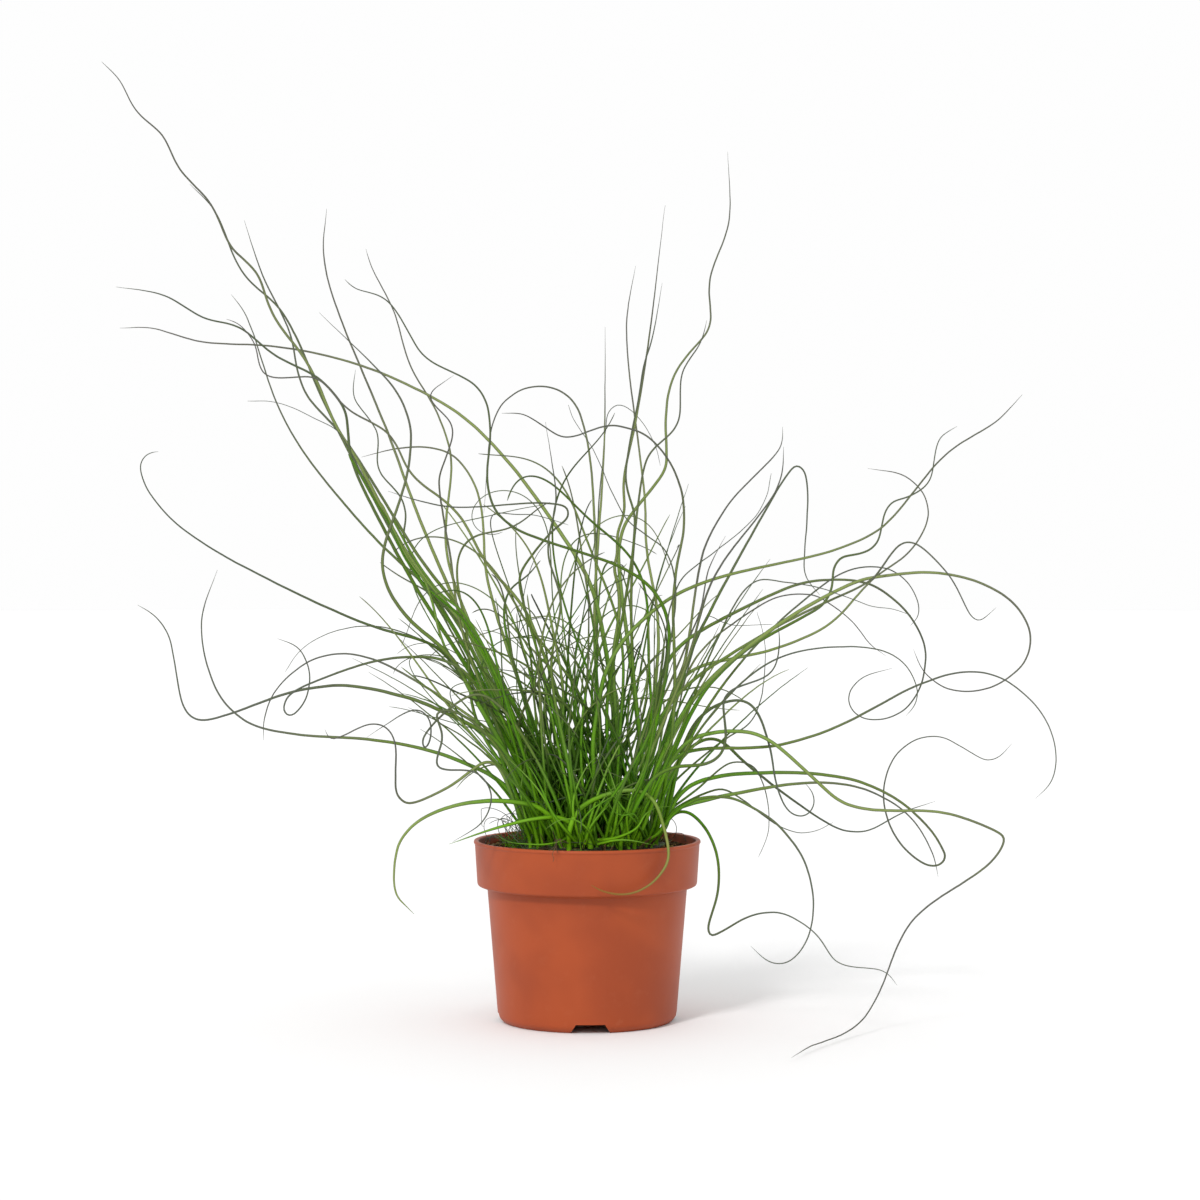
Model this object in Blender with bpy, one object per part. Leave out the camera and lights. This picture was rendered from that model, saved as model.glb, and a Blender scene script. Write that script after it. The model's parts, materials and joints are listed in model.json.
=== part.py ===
"""Potted corkscrew rush: a tuft of curling round stems in a plastic nursery pot.

The origin is the centre of the pot's base, on the surface it stands on. Z is up and -Y is the front.
Lengths are in millimetres up to the last step, which makes each mesh in metres.
"""

import math

import bmesh
import bpy
import numpy as np
from mathutils import Matrix, Vector

METRE = 1000.0
GAP = 0.3

# Pot
RIM_RADIUS = 60.0
POT_HEIGHT = 95.5
COLLAR_HEIGHT = 24.0
COLLAR_FOOT_RADIUS = 58.0
BODY_TOP_RADIUS = 52.9
BODY_FOOT_RADIUS = 47.0
WALL = 1.3
FLOOR_HEIGHT = 4.8
FOOT_RING_INNER_RADIUS = 41.0
PAD_RADIUS = 8.0
TURNS = 32
NOTCHES = 4
NOTCH_TURN = math.radians(2.0)
NOTCH_TOP_WIDTH = 15.0
NOTCH_FOOT_WIDTH = 20.6
DRAIN_RADIUS = 3.5
DRAIN_CIRCLE = 28.0

# Soil and crown
SOIL_TOP = 92.0
SOIL_TURNS = 24
CROWN_RADIUS = 40.0
CROWN_TOP = 96.0
CROWN_TURNS = 24
CLEAR_OF_CROWN = 30.0
FOOT_INSET = 3.2

# Stems: routes are drawn as seen from the front, by an eye at this distance and height.
EYE_DISTANCE = 1583.0
EYE_HEIGHT = 255.0
TIP_RADIUS = 0.38
TAPER_POWER = 1.25
CORNER = 1.2
CHORD_NEAR = 0.7
CHORD_FAR = 1.15
STEM_SIDES = 4

# Keeping stems apart: they move mostly in depth, and this share as far aside.
RUN = 6.0
NEAR = 4.0
SAME_STEM = 12.0
ASIDE = 0.2
WIDE_GAP = 1.6
SPREAD_STEPS = 400
PAIR_STEPS = 8
SOFTEN_PASSES = 3

# Short inner stems, fused to the crown
INNER_COUNT = 26
INNER_SEED = 7
INNER_SIDES = 3
INNER_STEP = 26.0
INNER_REACH = 33.0
ROOTED = 2.0

POT_COLOUR = (0.43, 0.09, 0.032)
SOIL_COLOUR = (0.035, 0.02, 0.012)
CROWN_COLOUR = (0.06, 0.16, 0.012)
STEM_COLOUR = (0.10, 0.19, 0.025)

# Each stem is its thickness at the base and its route from the crown to the tip. A point is
# (x, z) where the stem is seen against the pot's middle plane, or (x, z, y) where its depth is set;
# between those the depth runs smoothly.
LEFT_TALL = [
    (2.8, [(-8, 93, 2), (-20, 118), (-33, 148), (-46, 176), (-59, 200), (-73, 219), (-86, 234),
           (-97, 250), (-106, 266), (-114, 282), (-123, 299), (-133, 315, -6), (-141, 333), (-149, 350),
           (-157, 360.5), (-163, 368), (-168, 378), (-171.5, 387), (-175.5, 397), (-182, 403),
           (-188.5, 409.5), (-192, 417), (-196.5, 428), (-201, 434.5), (-209, 442.5), (-214.5, 449),
           (-218, 456), (-221.5, 464), (-227, 470.5), (-235, 477), (-241, 485), (-244.5, 493),
           (-249, 500), (-255, 505, -40)]),
    (2.8, [(-14, 93, 8), (-30, 126), (-46, 160), (-60, 188), (-74, 213), (-88, 232), (-100, 253),
           (-110, 271), (-119, 289), (-129, 309, 14), (-138, 325), (-146, 343), (-152, 354),
           (-157, 366), (-162, 376), (-168.5, 381.5), (-177, 389), (-183, 397), (-187.5, 407),
           (-192, 418), (-196, 427), (-201, 434), (-209, 441, 6)]),
    (2.6, [(-4, 93, -4), (-17, 120), (-31, 150), (-44, 177), (-57, 201), (-71, 222), (-86, 241),
           (-99, 262, 14), (-110, 280), (-120, 294), (-130, 310), (-139, 320), (-147, 329),
           (-151.5, 339), (-154, 351), (-158, 367), (-164, 378), (-170, 391), (-175, 404),
           (-178, 414), (-180.5, 422, 40)]),
    (2.8, [(-18, 93, -10), (-34, 128), (-48, 158), (-62, 185), (-76, 207), (-90, 228), (-102, 250, -24),
           (-112, 270), (-120, 285), (-125, 300), (-126, 312), (-128, 323), (-134, 331), (-141, 338.5),
           (-149, 344), (-156, 346.3), (-163, 350), (-169, 355, -50), (-175, 359.5), (-181, 364.5),
           (-188, 367.7), (-196, 369.3), (-203, 371), (-210, 375), (-217, 379.8), (-224, 383),
           (-232, 383.8), (-240, 384.5), (-248, 387, -80)]),
    (3.0, [(8, 93, 6), (12, 130), (14, 158), (12, 182), (8, 204), (4, 224, 24), (-3, 240), (-10, 251),
           (-18, 262.5), (-26, 274.5), (-36, 288), (-47, 301, 40), (-58, 312.5), (-68, 320.5),
           (-78, 327), (-90, 333), (-102, 339), (-112, 343), (-125, 347.5), (-140, 351.5, 66),
           (-155, 354.3), (-170, 356.2), (-186, 356.8), (-200, 357.7), (-210, 359.5), (-219, 362.7),
           (-229, 365.3), (-237, 365.8), (-246, 365.3, 90)]),
    (2.6, [(-20, 93, 12), (-30, 124), (-42, 152), (-54, 180), (-64, 202), (-75, 219), (-86, 229.5, 40),
           (-98, 241), (-109, 251.5), (-121, 265), (-132, 279), (-143, 291.5), (-152, 304), (-159, 316),
           (-164, 327, 70), (-168, 338), (-171, 346), (-173.5, 355), (-176, 363), (-179.5, 371.5),
           (-183, 378), (-187.5, 383, 96)]),
    (2.7, [(4, 93, -6), (-4, 130), (-12, 160), (-21, 188), (-29, 208), (-36, 222, -20), (-43, 230),
           (-50, 237.5), (-56, 246), (-61, 256), (-66, 265), (-72, 271.5), (-80, 277), (-88, 283.5),
           (-95, 292, -40), (-99, 301), (-104, 309), (-111, 314.5), (-120, 319.5), (-128, 324),
           (-135, 331), (-140, 337.5), (-147, 340), (-156, 339.6), (-164, 339.3), (-169, 340),
           (-171.5, 344, -60), (-173.5, 352), (-176, 359), (-181, 365), (-185, 368.7), (-190, 370, -70)]),
    (2.8, [(-10, 93, 16), (-24, 124), (-38, 152), (-50, 178), (-60, 202), (-68, 220, 44), (-75, 235),
           (-82, 250), (-88, 264), (-92, 275), (-96, 285), (-99.5, 295), (-103, 305), (-107.5, 316),
           (-112, 327), (-116.5, 338, 76), (-121, 349), (-125.5, 359), (-130, 371), (-134, 382),
           (-137, 393), (-138.7, 404), (-138.5, 416), (-137, 428, 104)]),
    (2.8, [(-24, 93, -14), (-36, 124), (-49, 152), (-61, 176), (-72, 192), (-83, 202.5, -44),
           (-92, 210), (-99, 218), (-104.5, 227), (-107.5, 236), (-108, 245), (-106, 254),
           (-102.5, 263), (-99.5, 272, -70), (-97, 281), (-94.5, 291), (-93, 301), (-93, 312),
           (-95.5, 322), (-100, 331), (-105, 338), (-111, 344.5, -60), (-118, 351.5), (-126, 358.5),
           (-133, 364), (-138.5, 369.5), (-141, 373.5, -50)]),
    (2.4, [(-12, 93, 22), (-26, 124), (-41, 152), (-56, 180), (-70, 207), (-82, 228, 56), (-91, 243),
           (-97, 256), (-95.5, 266), (-97.5, 275), (-103, 282), (-109, 289), (-111, 297), (-110, 306),
           (-112, 314), (-118, 321), (-122.5, 328), (-123.5, 336), (-122, 343.5, 100)]),
    (2.2, [(-2, 93, -12), (-10, 130), (-18, 165), (-26, 195), (-33, 222), (-36, 233, -40), (-30, 245),
           (-23, 253), (-17, 260), (-11, 265), (-8.5, 268), (-11, 271.5), (-17, 273.2), (-26, 273),
           (-36, 272, -70), (-48, 271), (-60, 270.5), (-72, 271.3), (-83, 273), (-94, 276),
           (-105, 279.5, -96)]),
    (2.6, [(20, 93, -18), (30, 130), (38, 165), (43, 195), (42, 214), (36, 226, -50), (28, 233),
           (18, 239.5), (8, 243.5), (-2, 246.5), (-12, 250.5), (-22, 253.8), (-31, 256.8),
           (-40, 261, -80), (-46.5, 267), (-51, 275), (-52.8, 285), (-52.3, 296), (-51.3, 307),
           (-51.3, 318), (-53.5, 327, -104), (-58, 334.5), (-65, 339.5), (-74, 343.5), (-82, 347.5),
           (-89, 354), (-94, 362), (-98, 370), (-101.5, 376), (-106, 380.5, -120), (-112, 382.5),
           (-119, 384.7), (-123.5, 387), (-127.5, 391, -130)]),
    (2.4, [(-16, 93, 20), (-28, 130), (-42, 165), (-55, 195), (-66, 220), (-71, 234, 60), (-74, 247),
           (-74.8, 259), (-73.5, 272), (-72, 285), (-71.7, 296), (-74, 308), (-77.5, 317),
           (-82, 326.5), (-87, 334, 96), (-92, 343), (-95.5, 351), (-98.5, 360), (-100.3, 368),
           (-102.5, 376), (-107, 384), (-111.5, 393), (-114.5, 400), (-116.5, 407, 130)]),
    (2.2, [(-26, 93, -4), (-38, 130), (-50, 162), (-61, 190), (-68, 214), (-70.5, 234, -40), (-73, 249),
           (-75.5, 262), (-77.5, 276), (-78, 286), (-76, 294), (-72.5, 301, -70), (-70.7, 309),
           (-72, 316), (-76, 321.5), (-81, 327), (-83.5, 331), (-79, 333.7), (-74, 336),
           (-70.5, 340.5, -90)]),
    (2.7, [(-6, 93, 26), (-18, 130), (-30, 165), (-42, 198), (-51, 225), (-54, 243, 60), (-54.5, 258),
           (-56, 271), (-59, 282), (-64, 291.5), (-71, 298.5), (-80, 302), (-90, 303), (-100, 302),
           (-110, 299.5), (-119, 297.5, 90)]),
]

LEFT_LOW = [
    (2.6, [(-22, 93, -8), (-36, 124), (-50, 152), (-62, 176), (-72, 190), (-82, 198.5, -36),
           (-92, 201.5), (-104, 205), (-118, 210), (-132, 216.5), (-146, 222.5), (-160, 229),
           (-175, 236.5, -70), (-190, 244.5), (-203, 252.5), (-213, 260), (-221, 266.5),
           (-227.5, 274), (-232, 281), (-235, 288), (-235.8, 294), (-233, 299), (-226, 300.3, -96)]),
    (2.8, [(-24, 93, 4), (-31, 106), (-40, 120), (-50, 129), (-60, 134), (-72, 139), (-86, 143.3, 24),
           (-100, 146.3), (-115, 148.5), (-130, 149.7), (-146, 150.3), (-160, 152.5), (-171, 154.3),
           (-180, 158, 50), (-188, 164), (-194, 171.5), (-198.5, 181), (-201.5, 191), (-203.3, 202),
           (-203.3, 212), (-201.5, 222), (-198.5, 231), (-195, 238, 70)]),
    (2.9, [(-14, 93, -20), (-22, 108), (-32, 124), (-42, 140), (-50, 149.5), (-59, 154.5),
           (-69, 159.5, -44), (-79, 164.5), (-89, 168.5), (-99, 172), (-110, 174.5), (-121, 176.5),
           (-133, 177), (-146, 175.5), (-158, 173), (-170, 169.3, -60), (-182, 165), (-192, 161),
           (-201, 158.5), (-208, 159.5), (-212.5, 164.5), (-215, 172), (-216.8, 182), (-218, 192),
           (-220, 201, -50), (-223.5, 208.5), (-229, 214.5), (-237, 219.5, -40)]),
    (2.4, [(-28, 93, -12), (-38, 122), (-48, 148), (-57, 170), (-65, 184), (-74, 190), (-84, 191.8, -44),
           (-95, 192), (-107, 190.8), (-119, 188), (-131, 184), (-143, 179.5), (-152, 175.7),
           (-157.5, 171.5), (-161, 166), (-160.5, 161.5), (-156.5, 160.3, -76), (-152, 164),
           (-148.3, 170.5), (-146.5, 178), (-147, 186), (-149.5, 193), (-154, 198.5), (-159, 201),
           (-163.5, 201.7, -94)]),
    (2.3, [(-10, 93, 26), (-22, 118), (-36, 140), (-50, 152), (-60, 158), (-70, 165, 56), (-79, 172),
           (-88, 178), (-97, 183.3), (-106, 188), (-114, 191), (-122, 193.3), (-131, 193.8),
           (-141, 192), (-150, 188, 88), (-157, 182.5), (-163, 176.5), (-167.5, 169), (-170, 161),
           (-171.7, 153), (-171, 148, 104)]),
    (2.2, [(-30, 93, -22), (-37, 112), (-45, 128), (-50, 137.5), (-56, 135), (-62, 130, -48), (-70, 125),
           (-79, 120.5), (-88, 116.3), (-95, 114.2), (-99.3, 116.2), (-101, 121), (-101, 130),
           (-101, 140), (-101.7, 148, -70), (-105, 154), (-110, 156.8), (-117, 156), (-123, 153.5),
           (-129, 150.5), (-136, 148.5), (-138.5, 154, -80)]),
    (2.2, [(-26, 93, -26), (-34, 118), (-46, 142), (-58, 156), (-70, 163), (-80, 163.5, -56),
           (-77, 156), (-76.3, 147), (-78, 140), (-81.5, 134.7), (-75, 134), (-67, 133.5),
           (-59.5, 131.3), (-53.5, 126.5), (-50.5, 119, -66), (-51.5, 111), (-56, 104), (-63, 98.5),
           (-71, 94.5, -62)]),
    (2.2, [(-8, 93, -24), (-20, 124), (-34, 150), (-46, 166), (-57, 172.5), (-66, 169.5, -52),
           (-74, 164), (-80, 158.3), (-85, 152), (-87.8, 146), (-87.5, 142.5), (-84.8, 143.5),
           (-83, 148), (-82.3, 154), (-83.8, 160, -66), (-87.5, 164), (-94, 163.5), (-101, 159),
           (-108, 154.5), (-116.5, 149.5, -78)]),
    (3.0, [(-12, 93, -28), (-17, 104), (-24, 110.5), (-33, 114), (-44, 115.5), (-55, 116),
           (-66, 114.5, -46), (-76, 111.5), (-85, 108), (-92, 103), (-97.5, 97), (-101, 89.5),
           (-102.5, 81), (-102.2, 72), (-99.5, 63.5), (-95, 58.5), (-91.5, 56, -60)]),
    (3.6, [(2, 93, -32), (-4, 101), (-11, 106.5), (-20, 108), (-30, 106.5), (-42, 103.3), (-54, 99.8),
           (-64, 96.5), (-73, 93, -50)]),
]

UPRIGHT = [
    (3.0, [(6, 93, 10), (8, 130), (6, 165), (4, 195), (4, 222, 34), (4.8, 243), (6, 262), (7.5, 280),
           (8.7, 297), (9.2, 312), (9.6, 326), (9, 340), (8.5, 352), (9.5, 366, 64)]),
    (2.6, [(24, 93, 18), (30, 130), (34, 165), (37.5, 195), (36.5, 220, 54), (33, 236), (31.3, 250),
           (31, 264), (30.2, 278), (28.7, 291), (27.3, 303), (26, 316), (24.3, 329), (22.3, 342),
           (21, 355, 100), (20.8, 368), (21.8, 380), (23.5, 391), (25.5, 398, 130)]),
    (2.8, [(16, 93, 2), (17, 130), (15, 165), (14, 195), (17, 216), (16.5, 228, -20), (14, 238),
           (16.3, 248), (16, 258), (19, 266), (20, 275), (19, 284), (21.5, 293), (23.2, 303),
           (25, 313, -52), (26.3, 323), (28.5, 333), (29.6, 341), (29.3, 348), (32, 356), (32, 366),
           (34.6, 376), (34.5, 386), (37.3, 394), (37, 402), (39.3, 409), (38.6, 417), (40.6, 423),
           (41, 430, -90)]),
    (2.6, [(12, 93, -8), (12, 130), (10, 160), (14, 190), (19, 215), (22, 236, -44), (24, 250),
           (25.5, 263), (23, 274), (20.3, 284), (22.5, 295), (24, 306), (25.7, 318), (27.3, 330),
           (29.6, 341, -64), (30.5, 350), (34, 359), (34.3, 367), (36.3, 375), (38.3, 382),
           (39.5, 389, -80)]),
    (3.0, [(28, 93, 6), (29, 130), (26, 165), (22, 195), (19, 220, 30), (17, 238), (17, 252), (20, 262),
           (25.5, 270.5), (31, 278), (37, 284.5), (41.3, 292), (42.3, 301, 56), (41.6, 311),
           (41.6, 322), (43, 332), (46, 341), (51, 349), (56.5, 355.5), (62, 361.5), (65, 368),
           (64.7, 376), (64, 387), (66, 396), (70, 406), (73.3, 415, 90), (75, 425), (74.5, 435),
           (73.6, 446), (74, 458, 104)]),
    (2.6, [(32, 93, -6), (30, 130), (26, 165), (23.5, 200), (23.5, 230, -30), (24.5, 250), (27, 266),
           (29, 280), (30, 292), (33, 299.5), (38, 304.5), (43.5, 309), (47.5, 315), (50, 323),
           (50.3, 332), (49.8, 340, -50), (51.5, 346), (56, 351.5), (59.7, 357.5), (61.5, 363.5),
           (63, 369.5, -60)]),
    (2.6, [(-2, 93, 30), (2, 130), (4, 165), (5, 200), (4, 235), (3.3, 262, 90), (2.7, 280),
           (1.5, 297), (-1, 310), (-4, 321), (-9, 328.5), (-16, 333.3), (-24, 334.8), (-32, 334),
           (-40, 330), (-46.5, 323, 130), (-50, 315), (-51, 305), (-52, 294), (-53, 282),
           (-54.5, 268, 140)]),
    (2.4, [(36, 93, -14), (42, 130), (46, 165), (46, 198), (45.5, 222, -60), (47, 238), (49.5, 250),
           (51.2, 263), (50.8, 274), (48.5, 284), (44.5, 293), (40, 300, -96), (35, 306), (28, 310.5),
           (20, 313.3), (12, 314.2), (4, 312.5), (-3, 309.5), (-11, 307.8), (-18, 310, -120),
           (-25, 315), (-32, 319.3), (-38, 321.2), (-45, 320.5, -136)]),
    (2.3, [(-6, 93, -30), (-9, 130), (-14, 160), (-19, 186), (-17, 206), (-14, 222), (-17, 233, -76),
           (-20, 242), (-20.7, 250), (-19.5, 259), (-17, 268), (-16.5, 277), (-18, 287), (-20.3, 297),
           (-21.8, 306), (-22, 316, -110)]),
]

RIGHT_HIGH = [
    (2.7, [(30, 93, 22), (36, 124), (43, 152), (49, 176), (55, 195), (62, 210, 60), (69, 224),
           (76, 236), (83, 248), (90, 261), (96, 273), (102, 283), (107.5, 290), (112, 294.3, 90),
           (114.7, 289.5), (116.3, 280), (116.2, 268), (115.2, 256), (114.3, 245), (115, 236),
           (118, 230), (123, 224.5, 60)]),
    (2.8, [(20, 93, 32), (27, 124), (36, 150), (44, 172), (51, 190), (55, 210, 84), (57.5, 228),
           (60, 243), (64.5, 256), (71, 267.5), (80, 279.5), (90, 289.7), (96, 296), (101, 301.5),
           (103.5, 307), (103, 313.5, 140)]),
    (2.4, [(18, 93, -26), (27, 124), (37, 150), (46, 172), (53, 190), (58, 208), (62, 222, -70),
           (68, 236), (75, 247), (83, 257), (90, 265), (96, 273.5), (101, 283), (103.3, 292),
           (103.5, 303, -110)]),
    (2.2, [(10, 93, 34), (22, 126), (34, 154), (45, 180), (53, 200), (59, 214, 86), (61.8, 226),
           (64, 238), (69.5, 249), (73, 256, 110)]),
    (3.0, [(0, 93, -16), (4, 126), (5, 154), (8, 178), (15, 195), (23, 205, -40), (32, 214),
           (42, 221.5), (52, 227.5), (63, 232), (75, 235.5), (90, 239), (104, 242), (118, 245),
           (130, 248.3, -80), (141, 252), (151, 257.3), (160, 264.5), (168, 273.5), (175, 283),
           (183, 292.5), (192, 301.5), (201, 307.7, -110), (210, 312.7), (218, 318), (225, 325),
           (229.5, 330.5, -124)]),
    (2.9, [(34, 93, 10), (40, 124), (50, 152), (62, 174), (76, 189), (90, 200, 30), (103, 208),
           (114, 213.5), (122.5, 218), (127.5, 224), (129.6, 231), (130, 238), (131.5, 243),
           (136, 245.2), (143, 246.2), (149, 248.5, 50), (153.5, 253), (156, 259.5), (156.7, 267),
           (159.5, 273), (166, 275.5), (173, 278), (179, 282.5), (182.3, 290), (183.3, 298, 70),
           (185.3, 306), (189.5, 311), (195, 313.8, 80)]),
    (2.7, [(24, 93, 26), (30, 124), (37, 150), (44, 170), (52, 182.5), (64, 188.5, 60), (78, 191),
           (92, 194.3), (106, 198.5), (119, 204), (130, 211), (140, 221), (148, 230.5),
           (156, 237.3), (165, 243), (172, 249.8, 100), (177, 257.5), (180, 266), (179.5, 274),
           (175.5, 281), (169, 286.7), (161, 290), (148, 291.5, 124)]),
    (2.8, [(14, 93, -4), (22, 124), (33, 150), (46, 170), (60, 183), (74, 192, -6), (88, 200.5),
           (101, 208.5), (113, 214.5), (124, 219.5), (135, 226), (146, 231.3), (153, 236), (158, 242),
           (162.5, 249), (168, 253.5, -30), (173, 252.3), (180, 246.5), (187, 240), (192, 233.5),
           (197, 225.5), (201.5, 216.5), (204.5, 210.3), (209, 212.5), (216, 218, -50)]),
    (3.2, [(28, 93, -10), (34, 124), (43, 148), (54, 167), (67, 182), (81, 194, -16), (94, 204),
           (106, 212.5), (118, 219), (130, 225.5), (143, 230.8), (156, 234.5), (169, 236.3),
           (181, 236.7), (193, 235.3), (204, 232.5, -30), (215, 227.7), (224, 221.5), (230.5, 213.5),
           (234, 204.5), (234, 196), (230.5, 188.5), (224, 182), (217, 177.5, -50), (209, 174.8),
           (200, 173.6), (191, 175), (184, 178.5), (178.5, 183.5), (174.5, 189.5), (172.3, 196, -66)]),
    (2.7, [(30, 93, -18), (34, 112), (40, 130), (49, 140.5), (60, 143.3), (72, 143.5, -40), (86, 143.8),
           (100, 145.2), (112, 148), (124, 152.2), (137, 157.3), (150, 164), (163, 171),
           (176, 177.8, -64), (188, 182), (199, 184), (209, 183.8), (219, 180.8), (228, 175),
           (236, 167.5), (242, 159.5, -80), (246, 150), (248, 140), (247.3, 131), (244, 123.5),
           (237, 117, -86)]),
    (2.9, [(14, 93, 28), (22, 124), (31, 152), (38, 176), (44, 192), (54, 202, 66), (64, 208),
           (76, 214), (88, 218.8), (98, 223.7), (108, 229.3), (119, 232), (131, 233), (142, 232.3),
           (152, 229.3, 100), (162, 222), (170, 214.3), (175.5, 205.5), (178.5, 196), (178.6, 187),
           (176.5, 177.5), (172.5, 169.5), (166.5, 163.3, 120), (159, 159.7), (152, 158.5),
           (145, 159.7), (140, 163.5), (137.6, 169), (139, 175), (143.5, 180), (150, 183),
           (161, 186, 130)]),
    (2.4, [(26, 93, 34), (33, 124), (41, 152), (49, 174), (57, 191), (67, 202, 84), (77, 209.5),
           (86, 215.5), (93, 220.5), (102, 224), (112, 225.3), (121, 224.3), (128, 219.8),
           (135, 214.5), (142, 209), (147, 202.5), (151, 197), (158, 192.5, 130)]),
    (2.4, [(36, 93, 2), (44, 124), (55, 150), (68, 172), (82, 190), (96, 205.5, 40), (108, 216),
           (118, 224.5), (128, 232.5), (138, 237.8), (148, 239.7), (157, 239.2), (164.5, 235.7),
           (171, 229), (175, 220.5), (174.7, 213), (170.5, 208.5, 80)]),
    (2.2, [(32, 93, -20), (40, 118), (52, 142), (66, 162), (80, 177), (92, 186.5, -70), (103, 192.3),
           (115, 195.7), (128, 197), (141, 197.3), (152, 196.5), (161, 193.3), (168.5, 187.5),
           (173, 180, -104), (174.8, 172.5), (173, 166), (168.5, 161, -110)]),
    (2.7, [(18, 93, -32), (26, 114), (35, 128), (45, 133.6), (56, 134.3), (65, 136.3), (71, 140.8, -60),
           (73.3, 148), (73, 156), (72, 164), (72.3, 170.5), (77, 175), (85, 178), (93, 180.7),
           (98.5, 185.5), (101, 193, -80), (101.5, 202), (100.5, 211, -84)]),
    (2.7, [(37, 93, -8), (44, 118), (50, 142), (57, 157), (65, 164.5), (74, 168.7), (83, 168.8),
           (89.5, 163.5, -46), (94, 153), (97, 142), (98.7, 131), (101, 121), (104.5, 113), (109, 108),
           (114, 106.7), (118, 109.5), (120.2, 115), (118.8, 121), (115, 125.3, -60)]),
]

RIGHT_LOW = [
    (3.0, [(26, 93, -26), (34, 114), (43, 134), (52, 146), (62, 151), (72, 152.5), (82, 153, -50),
           (91, 150.5), (100, 145.3), (108, 139), (116, 131.5), (124, 124), (132, 117), (140, 113),
           (149, 111.3), (160, 111.3), (172, 111.2, -56), (184, 110.3), (196, 107.7), (207, 103.7),
           (216, 99), (221.5, 95.5, -54), (218, 89), (211.5, 81.5), (203, 75), (193, 68.5),
           (182, 61.5), (173, 53.5), (166.5, 44, -44), (161.5, 32), (157, 20), (151.5, 8, -42),
           (145.5, -0.5, -51), (138, -6.5, -63), (130, -9.7, -77), (121, -13, -95),
           (114, -16.5, -111), (108, -20.5, -131)]),
    (3.0, [(34, 93, -15), (40, 104), (47, 111.5), (56, 114.5), (67, 117.3), (78, 119.7), (90, 122, -34),
           (102, 124), (114, 125.4), (126, 125.5), (138, 124.3), (149, 121.3), (159, 116.5),
           (168, 110, -30), (175, 102), (180.5, 93), (184, 84), (185.7, 75.5, -16)]),
    (3.0, [(37, 93, 8), (42, 106), (48, 117), (56, 124.5), (67, 128.3), (80, 130.3), (94, 131, 40),
           (108, 130.9), (122, 130), (135, 128.2), (147, 125.2), (158, 120), (168, 113.7),
           (177, 105.5), (184, 97), (188.8, 89, 76), (189.5, 83.5), (185.5, 80.8), (179, 82),
           (172, 86.8), (165, 94), (160, 103), (157, 113, 96), (156.7, 123), (159, 132.5),
           (163.5, 140.5), (170, 146.3), (178, 149.7), (187, 149.7), (195, 146.7), (202, 142.3),
           (208, 138.3, 110), (213.5, 137), (218.5, 139.5), (224.5, 146, 116)]),
    (2.8, [(37, 93, -2), (42, 104), (49, 111.5), (55.5, 108.7), (61, 103.3), (65.5, 96.3),
           (68.3, 88.5, -14), (69.7, 80), (69.5, 71), (68, 62), (65.7, 53), (63, 44, -20), (67, 45.5),
           (74, 49.5), (82, 53.5), (90, 56), (98, 57), (106, 55.5), (113, 52), (119, 47.5, -36),
           (124.5, 41), (129, 34.3), (133.5, 29), (140, 28.3), (148, 28), (155, 26.3), (160.5, 23),
           (164, 18, -60)]),
    (2.4, [(32, 93, -21), (40, 102), (47, 110.5), (57, 116.5), (68, 118.3), (78, 117), (86, 113, -60),
           (94, 108.3), (101, 103), (107.5, 96), (113, 87.5), (117, 78), (119.3, 67, -90),
           (119.7, 57), (118, 47), (114.5, 38.5), (109, 32), (102.5, 29.3), (96, 30.7), (90, 34.5),
           (86.5, 39, -104)]),
    (2.5, [(32, 93, 16), (38, 116), (47, 135), (57, 146), (66, 149.3), (73, 146), (80, 140, 50),
           (87, 133), (95, 127), (104, 121), (113, 114.8), (122, 107.8), (130, 102.3), (138, 99.8),
           (147, 99.8), (156, 103.3), (165, 108.7), (174, 112.7), (184, 115.7, 90)]),
    (2.8, [(-10, 93, -34), (-7, 104), (-1, 112), (6, 117), (14, 120.3), (23, 121.7), (31, 120),
           (36.5, 114.5, -41), (39.5, 106), (41.5, 97.5, -44), (43, 90, -47.5), (42.7, 84, -48.5),
           (40, 78.5, -49.5), (36, 74, -52), (31, 70, -55), (24, 67, -58.5), (16, 66.3, -61),
           (8, 68, -62), (2, 71.5, -62)]),
]

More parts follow.
